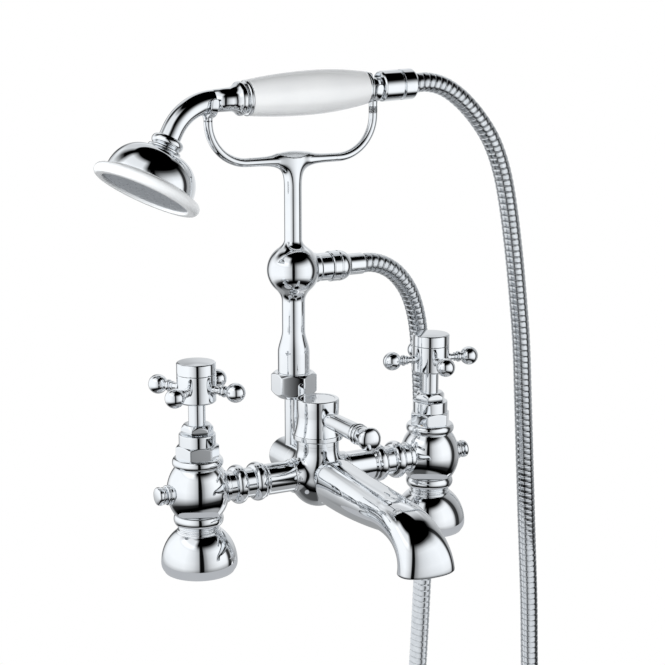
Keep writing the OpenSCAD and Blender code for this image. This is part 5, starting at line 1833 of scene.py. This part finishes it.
@dataclass
class Hose:
    """The shower hose of interlocked steel strip, with its lower nut and ferrule."""

    radius: float = 6.8
    groove: float = 0.85
    pitch: float = 4.54
    rib_power: int = 7
    rib_rows: int = 12
    held: float = 12.0
    length: float = 1252.0
    nut_r: float = 10.7
    nut_len: float = 15.0
    nut_line: float = 6.6
    route: tuple[tuple[float, float, float], ...] = (
        (61, 36, 191), (69.5, 36.3, 188.9), (78.5, 37, 184.3), (87.1, 38.5, 177), (95, 40.3, 167),
        (101.3, 42.5, 154.5), (106, 44.5, 139), (109, 45.9, 117), (111.8, 47.2, 82), (114, 48, 20),
        (115, 48, -40), (113, 47.5, -90), (110, 46.5, -140), (107.5, 45.5, -190), (107.5, 44, -243),
        (117.5, 42.5, -273.5), (143, 40.5, -292), (175, 38.5, -292), (200.5, 37, -273.5), (210.5, 36, -243),
        (209.5, 36, -190), (207, 36, -140), (205, 36, -90), (201.8, 36, -40), (198, 36, 20),
        (194.6, 36, 75), (191.8, 36, 118), (188, 36, 152), (183, 36, 189), (177, 36, 224),
        (170.6, 36, 250), (161.5, 36, 271.5), (149, 36, 288.8), (135, 36, 302.6), (120.5, 36, 312),
        (106.5, 36, 315.8),
    )

    @property
    def nut_start(self) -> float:
        """Way from the ball's centre to the lower nut."""
        return COLUMN.ball_r + COLUMN.outlet_out + 0.3

    @property
    def nut_end(self) -> float:
        """Way from the ball's centre to the lower nut's end."""
        return self.nut_start + self.nut_len

    def line(self, step: float) -> Array:
        """Works out the hose's middle line: a cubic spline through the route, sampled at even lengths.

        Between P1 and P2 the spline is half of 2 P1 + (P2 - P0) t + (2 P0 - 5 P1 + 4 P2 - P3) t^2
        + (3 P1 - P0 - 3 P2 + P3) t^3.

        Args:
            step: Length between samples, at most.

        Returns:
            Points from the lower nut to the upper one.
        """
        start = np.array([self.nut_end, LAYOUT.riser_back, LAYOUT.sphere_z])
        free = start + [self.held, 0, 0]
        leave = LAYOUT.handset().at(np.array([HANDSET.nut_end, 0, 0]))
        end = LAYOUT.handset().at(np.array([HANDSET.nut_end - self.held, 0, 0]))
        knots = np.array([start, (start + free) / 2, free, *self.route, leave, (leave + end) / 2, end])
        padded = np.concatenate([knots[:1], knots, knots[-1:]])
        p0, p1, p2, p3 = (padded[i : len(padded) - 3 + i, None] for i in range(4))
        t = np.linspace(0, 1, 24, endpoint=False)[None, :, None]
        square, cube = 2 * p0 - 5 * p1 + 4 * p2 - p3, 3 * p1 - p0 - 3 * p2 + p3
        curve = 0.5 * (2 * p1 + (p2 - p0) * t + square * t**2 + cube * t**3)
        curve = np.concatenate([curve.reshape(-1, 3), knots[-1:]])
        way = np.concatenate([[0], np.cumsum(np.linalg.norm(np.diff(curve, axis=0), axis=1))])
        even = np.linspace(0, way[-1], int(way[-1] / step) + 1)
        return np.stack([np.interp(even, way, curve[:, i]) for i in range(3)], 1)

    def strip(self, sides: int = 24) -> Surface:
        """Winds the strip: the radius follows a rib's shape along a helix.

        At length s and angle q the place on the rib is f, the fraction of s / pitch + q / turn. The radius is
        the groove's plus its depth times 1 - |2f - 1|^power, so each rib is flat and its edges drop.

        Args:
            sides: Points round the hose.

        Returns:
            The closed hose.
        """
        path = self.line(self.pitch / self.rib_rows)
        tangent = np.gradient(path, axis=0)
        tangent /= np.linalg.norm(tangent, axis=1, keepdims=True)
        across = np.cross(tangent, [0, 1, 0])
        across /= np.linalg.norm(across, axis=1, keepdims=True)
        normal = np.cross(tangent, across)
        q = np.linspace(0, 2 * np.pi, sides, endpoint=False)
        way = np.linspace(0, self.length, len(path))[:, None]
        f = (way / self.pitch + q / (2 * np.pi)) % 1
        r = (self.radius - self.groove * np.abs(2 * f - 1) ** self.rib_power)[..., None]
        ring = across[:, None] * np.cos(q)[:, None] + normal[:, None] * np.sin(q)[:, None]
        return tube(path[:, None] + r * ring)

    def nut(self) -> Surface:
        """Turns the lower hose nut: a collar, a groove and a rounded barrel.

        Returns:
            The nut, on the outlet's axis.
        """
        start, end, r = self.nut_start, self.nut_end, self.nut_r
        groove = start + self.nut_line
        return lathe(
            points((0, start), (r - 0.5, start), (r, start + 0.6), (r, groove - 0.9)),
            points((r - 0.5, groove - 0.5), (r - 0.5, groove + 0.3), (r, groove + 0.7)),
            arc((0, groove + 1.1), r, 10.2, 2, 48, 30),
            points((self.radius + 0.3, end), (0, end - 1.5)),
            edge=0.3,
            sides=80,
        )

    def ferrule(self) -> Surface:
        """Turns the sleeve that is crimped over the hose's end.

        Returns:
            The sleeve, on the outlet's axis.
        """
        start, end, r = self.nut_end - 0.4, self.nut_end + self.held - 0.1, self.radius + 0.75
        profile = points((0, start), (r, start), (r, end - 0.8), (r - 0.6, end), (0, end - 2))
        return lathe(profile, edge=0.3, sides=72)

    def pieces(self) -> list[Piece]:
        """Builds the lower nut and the ferrule.

        Returns:
            Their pieces.
        """
        place = LAYOUT.outlet()
        return [
            Piece("lower_hose_nut", self.nut().placed(place), CHROME, Body.ROOT, ("hose_nut_low",)),
            Piece("lower_ferrule", self.ferrule().placed(place), CHROME, Body.ROOT, ("hose_ferrule_low",)),
        ]

    def hang(self) -> bpy.types.Object:
        """Returns:
            The hose's object.
        """
        piece = Piece("ribbed_hose", self.strip(), HOSE_STEEL, Body.ROOT, ("shower_hose",))
        thing = piece.mesh()
        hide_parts(*piece.stands_for)
        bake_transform(thing)
        path = self.line(5.0) * MM
        LOG.info("%s: %d faces between %s and %s", piece.name, len(thing.data.polygons), "root", "handset")
        return thing


# Studio


@dataclass
class Studio:
    """The camera, the floor, the light tent with its dark flags, the lamps and the world."""

    camera_place: tuple[float, float, float] = (-0.5237, -0.9954, 0.4027)
    camera_turn: tuple[float, float, float] = (77.51, 0.0, -28.26)
    lens_mm: float = 92.1
    # Point in metres that the lamps look at, and the world's soft fill
    aim: tuple[float, float, float] = (0.0, 0.0, 0.15)
    fill: float = 0.6
    floor_z: float = -310.0
    floor_half: float = 4000.0
    tent_r: float = 450.0
    tent_low: float = -303.0
    tent_high: float = 640.0
    disc_rows: int = 16
    wall_rows: int = 33
    columns: int = 145
    # Azimuth from the camera's side, in degrees to the picture's right, with the light seen there
    round_light: Stops = (
        (-180, 0.8), (-165, 0.64), (-152, 0.34), (-146, 0.05), (-140, 0.05), (-134, 0.5), (-125, 0.85),
        (-110, 1.0), (-45, 1.0), (-30, 0.87), (-20, 0.75), (-13, 0.6), (-8, 0.5), (-6, 0.3), (-5, 0.003),
        (6.5, 0.003), (8, 0.25), (12, 0.33), (15, 0.4), (20, 0.58), (30, 0.74), (45, 0.9), (60, 1.0),
        (80, 1.0), (88, 0.95), (93, 0.6), (97, 0.05), (108, 0.02), (112, 0.3), (120, 0.4), (150, 0.62),
        (180, 0.8),
    )
    # Height on the tent's wall in millimetres, with the share of that light
    wall_light: Stops = (
        (-303, 0.0), (-200, 0.02), (-120, 0.4), (-40, 0.88), (60, 1.0), (310, 1.0), (395, 0.8), (475, 0.41),
        (550, 0.1), (622, 0.0),
    )
    card_r: float = 50.0
    card_light: tuple[float, float, float, float] = (0.5, 0.51, 0.53, 1.0)
    # Axis in x and y and radius of the hose's screen, its top, and the places of its two rows on the cloth
    hose_screen: tuple[float, float, float] = (158.0, 42.0, 76.0)
    hose_screen_top: float = -55.0
    hose_screen_rows: tuple[float, float] = (0.41, 0.395)
    cloth_tint: tuple[float, float, float] = (1.06, 1.08, 1.1)
    # Azimuth, with the light over the left box, from behind and on the table
    left_sky: Stops = ((-180, 0.0), (-98, 0.0), (-82, 0.9), (-28, 0.9), (-12, 0.0), (180, 0.0))
    back_light: Stops = ((-180, 0.66), (-130, 0.66), (-112, 0.0), (125, 0.0), (148, 0.66), (180, 0.66))
    table_light: Stops = (
        (-180, 0.3), (-120, 0.2), (-95, 0.08), (-10, 0.07), (10, 0.3), (60, 0.36), (180, 0.34),
    )

    def camera(self) -> bpy.types.Object:
        """Sets the camera at the photograph's angle.

        Returns:
            The camera's object.
        """
        data = bpy.data.cameras.new("photo_camera")
        data.lens, data.sensor_width = self.lens_mm, 36.0
        data.clip_start, data.clip_end = 0.05, 60.0
        thing = bpy.data.objects.new("photo_camera", data)
        thing.location = self.camera_place
        thing.rotation_euler = [math.radians(a) for a in self.camera_turn]
        bpy.context.scene.collection.objects.link(thing)
        bpy.context.scene.camera = thing
        return thing

    def seen(self, tree: bpy.types.NodeTree) -> bpy.types.NodeSocket:
        """Adds the test of rays that see the backdrop: camera, glossy and transmission rays.

        Args:
            tree: Node tree of the floor or the world.

        Returns:
            A socket that is one for those rays.
        """
        ray = add_node(tree, "ShaderNodeLightPath").outputs
        both = add_node(
            tree, "ShaderNodeMath", {0: ray["Is Camera Ray"], 1: ray["Is Glossy Ray"]}, operation="MAXIMUM"
        )
        every = add_node(
            tree, "ShaderNodeMath", {0: both.outputs[0], 1: ray["Is Transmission Ray"]}, operation="MAXIMUM"
        )
        return every.outputs[0]

    def floor(self) -> bpy.types.Object:
        """Lays the pale floor below the hose's loop: white to the rays that see the backdrop.

        Returns:
            The floor's object.
        """
        material = blank_material("pale_studio_floor")
        tree = material.node_tree
        white = add_node(tree, "ShaderNodeEmission", {"Color": linear("#ffffff"), "Strength": 1.0})
        paint = add_node(tree, "ShaderNodeBsdfDiffuse", {"Color": linear("#f1f1f1")})
        looks = {0: self.seen(tree), 1: paint.outputs[0], 2: white.outputs[0]}
        blend = add_node(tree, "ShaderNodeMixShader", looks)
        add_node(tree, "ShaderNodeOutputMaterial", {"Surface": blend.outputs[0]})
        side = np.linspace(-self.floor_half, self.floor_half, 9)
        x, y = np.meshgrid(side, side)
        spots = np.stack([x, y, np.full_like(x, self.floor_z)], -1).reshape(-1, 3) * MM
        index = np.arange(x.size).reshape(x.shape)
        quads = np.stack([index[:-1, :-1], index[:-1, 1:], index[1:, 1:], index[1:, :-1]], -1).reshape(-1, 4)
        mesh = bpy.data.meshes.new("studio_floor")
        mesh.from_pydata(spots.tolist(), [], quads.tolist())
        mesh.materials.append(material)
        thing = bpy.data.objects.new("studio_floor", mesh)
        bpy.context.scene.collection.objects.link(thing)
        return thing

    def tent_cloth(self) -> bpy.types.Material:
        """Makes the tent's glow, or gives the one already made.

        It has two soft boxes, a thin dark gap before the camera and dark flags. Each zone is a ramp round the
        tent times a ramp up it: the boxes on the wall, the glow over the left box, the light from behind over
        the wall's top and the roof, the near part of the table, and its far part with the foot of the wall.

        Returns:
            The material.
        """
        known = bpy.data.materials.get("light_tent_cloth")
        if known:
            return known
        material = blank_material("light_tent_cloth")
        tree = material.node_tree
        spot = add_node(tree, "ShaderNodeUVMap", uv_map="tent")
        way = add_node(tree, "ShaderNodeSeparateXYZ", {0: spot.outputs[0]}).outputs
        low, span = self.tent_low, self.tent_high - self.tent_low
        wall = tuple(((z - low) / span * 0.5 + 0.25, v) for z, v in self.wall_light)
        behind = tuple((a, min(1.0, 1.5 * v)) for a, v in self.back_light)
        zones = (
            (self.round_light, ((0.0, 0.0), (0.245, 0.0), *wall)),
            (self.left_sky, ((0.0, 0.0), (0.59, 0.0), (0.68, 1.0), (0.83, 0.9), (0.885, 0.0))),
            (self.back_light, ((0.0, 0.0), (0.61, 0.0), (0.66, 1.0), (0.835, 1.0), (0.85, 0.0))),
            (self.table_light, ((0.0, 1.0), (0.17, 1.0), (0.2, 0.0))),
            (behind, ((0.17, 0.0), (0.2, 0.34), (0.33, 0.34), (0.37, 0.0))),
        )
        total: Any = (0.0, 0.0, 0.0)
        for turn, climb in zones:
            full = [((a + 180) / 360, v) for a, v in turn]
            around = add_node(tree, "ShaderNodeValToRGB", {"Fac": way[0]}, full)
            upward = add_node(tree, "ShaderNodeValToRGB", {"Fac": way[1]}, climb)
            inputs = {0: around.outputs[0], 1: upward.outputs[0], 2: total}
            total = add_node(tree, "ShaderNodeVectorMath", inputs, operation="MULTIPLY_ADD").outputs[0]
        tint = add_node(tree, "ShaderNodeVectorMath", {0: total, 1: self.cloth_tint}, operation="MULTIPLY")
        glow = add_node(tree, "ShaderNodeEmission", {"Color": tint.outputs[0], "Strength": 1.0})
        add_node(tree, "ShaderNodeOutputMaterial", {"Surface": glow.outputs[0]})
        return material

    def screen(
        self, name: str, middle: Sequence[float], radius: Array, height: Array, v: Array
    ) -> bpy.types.Object:
        """Stands a round screen of the tent's cloth, seen only in reflections and in soft light.

        Its UV runs once round from behind, as seen from the camera, and up by the rows' own values.

        Args:
            name: Name of the screen.
            middle: Its axis in x and y.
            radius: Radius of each row.
            height: Height of each row.
            v: Place of each row on the cloth.

        Returns:
            The screen's object.
        """
        u = np.linspace(0, 1, self.columns)
        yaw = math.radians(self.camera_turn[2])
        a = 2 * np.pi * (u - 0.5)
        toward = -np.array([-math.sin(yaw), math.cos(yaw)])
        right = np.array([math.cos(yaw), math.sin(yaw)])
        ring = np.cos(a)[:, None] * toward + np.sin(a)[:, None] * right
        flat = np.array(middle) + radius[:, None, None] * ring
        grid = np.concatenate([flat, np.repeat(height[:, None], u.size, 1)[..., None]], -1)
        index = np.arange(radius.size * u.size).reshape(radius.size, u.size)
        quads = np.stack([index[:-1, :-1], index[1:, :-1], index[1:, 1:], index[:-1, 1:]], -1).reshape(-1, 4)
        mesh = bpy.data.meshes.new(name)
        mesh.from_pydata((grid.reshape(-1, 3) * MM).tolist(), [], quads.tolist())
        flat_uv = np.stack(np.broadcast_arrays(u[None, :], v[:, None]), -1).reshape(-1, 2)
        layer = mesh.uv_layers.new(name="tent")
        layer.data.foreach_set("uv", flat_uv[quads.ravel()].ravel().astype(np.float32))
        mesh.materials.append(self.tent_cloth())
        return self.unseen(name, mesh)

    def unseen(self, name: str, mesh: bpy.types.Mesh) -> bpy.types.Object:
        """Puts a mesh on the stage that the camera doesn't see and that casts no shadow.

        Args:
            name: Name of the object.
            mesh: Its mesh.

        Returns:
            The object.
        """
        thing = bpy.data.objects.new(name, mesh)
        bpy.context.scene.collection.objects.link(thing)
        thing.visible_camera = False
        thing.visible_shadow = False
        thing.visible_transmission = False
        return thing

    def tent(self) -> None:
        """Stands the tent round the object, with its table, wall and roof, and the hose's own screen."""
        disc = np.linspace(0, 1, self.disc_rows, endpoint=False)
        low, high, rows = self.tent_low, self.tent_high, self.wall_rows
        inner = self.tent_r * disc
        radius = np.concatenate([inner, np.full(rows, self.tent_r), inner[::-1]])
        climb = np.linspace(low, high, rows)
        height = np.concatenate([np.full(disc.size, low), climb, np.full(disc.size, high)])
        v = np.concatenate([0.25 * disc, np.linspace(0.25, 0.75, rows), 1 - 0.25 * disc[::-1]])
        self.screen("light_tent", (0.0, 0.0), radius, height, v)
        x, y, wide = self.hose_screen
        ends = np.array([low + 2, self.hose_screen_top])
        self.screen("hose_screen", (x, y), np.full(2, wide), ends, np.array(self.hose_screen_rows))

    def cards(self) -> bpy.types.Object:
        """Lays a pale round card under each foot, which is seen only in the chrome over it.

        Returns:
            The cards' object.
        """
        disc = revolve(rod(self.card_r, -1.6, -0.8), 64)
        both = joined(*(disc.placed(shifted(x)) for x in (-LAYOUT.leg_x, LAYOUT.leg_x)))
        mesh = bpy.data.meshes.new("foot_cards")
        mesh.from_pydata((both.points * MM).tolist(), [], both.quads.tolist() + both.triangles.tolist())
        material = blank_material("pale_card")
        tree = material.node_tree
        glow = add_node(tree, "ShaderNodeEmission", {"Color": self.card_light, "Strength": 1.0})
        add_node(tree, "ShaderNodeOutputMaterial", {"Surface": glow.outputs[0]})
        mesh.materials.append(material)
        return self.unseen("foot_cards", mesh)

    def lamp(self, name: str, place: Sequence[float], size: float, power: float) -> bpy.types.Object:
        """Hangs a soft square lamp that points at the middle of the object.

        Args:
            name: Name of the lamp.
            place: Where it hangs, in metres.
            size: Length of its side in metres.
            power: Watts.

        Returns:
            The lamp's object.
        """
        data = bpy.data.lights.new(name, "AREA")
        data.shape, data.size, data.energy = "SQUARE", size, power
        thing = bpy.data.objects.new(name, data)
        thing.location = place
        aim = np.array(self.aim) - np.array(place)
        flat = math.hypot(aim[0], aim[1])
        thing.rotation_euler = (math.atan2(flat, -aim[2]), 0, math.atan2(-aim[0], aim[1]))
        thing.visible_glossy = False
        bpy.context.scene.collection.objects.link(thing)
        return thing

    def world(self) -> None:
        """Makes the world white to the rays that see the backdrop, and a soft fill to the rest."""
        world = bpy.data.worlds.new("studio_world")
        world.use_nodes = True
        tree = world.node_tree
        tree.nodes.clear()
        white = add_node(tree, "ShaderNodeBackground", {"Color": linear("#ffffff"), "Strength": 1.0})
        soft = add_node(tree, "ShaderNodeBackground", {"Color": linear("#fbfcff"), "Strength": self.fill})
        looks = {0: self.seen(tree), 1: soft.outputs[0], 2: white.outputs[0]}
        blend = add_node(tree, "ShaderNodeMixShader", looks)
        add_node(tree, "ShaderNodeOutputWorld", {"Surface": blend.outputs[0]})
        bpy.context.scene.world = world

    def build(self) -> None:
        """Sets the whole studio."""
        self.camera()
        self.floor()
        self.tent()
        self.cards()
        self.lamp("left_soft_lamp", (-1.15, -0.35, 0.45), size=0.7, power=10.0)
        self.lamp("right_soft_lamp", (0.75, -1.0, 0.45), size=0.7, power=8.0)
        self.world()
        bpy.context.scene.view_settings.view_transform = "Standard"


def finish_carried(nodes: dict[str, bpy.types.Object], record: dict[str, Any]) -> None:
    """Gives every CAD node that stays in view or inside the finish of its slot.

    Args:
        nodes: The CAD nodes by name.
        record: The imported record, which names each node's slot.
    """
    slots = {part["node"]: part["material_slot"] for part in record["subparts"]}
    by_slot = {finish.slot.value: finish for finish in FINISHES}
    for name, thing in nodes.items():
        finish = by_slot[slots[name]]
        if not thing.material_slots:
            thing.data.materials.append(finish.material())
        for slot in thing.material_slots:
            slot.material = finish.material()


def main() -> None:
    """Builds the sub-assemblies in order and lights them."""
    logging.basicConfig(level=logging.INFO, format="%(name)s %(message)s")
    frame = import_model()
    studio = Studio()
    studio.build()
    finish_carried(frame["nodes"], frame["record"])
    hose = Hose()
    parts = (LEG, HEADGEAR, Crosshead(), CENTRE, Spout(), Diverter(), COLUMN, Cradle(), HANDSET, Rose(), hose)
    for part in parts:
        for piece in part.pieces():
            piece.dress()
    hose.hang()


if __name__ == "__main__":
    main()
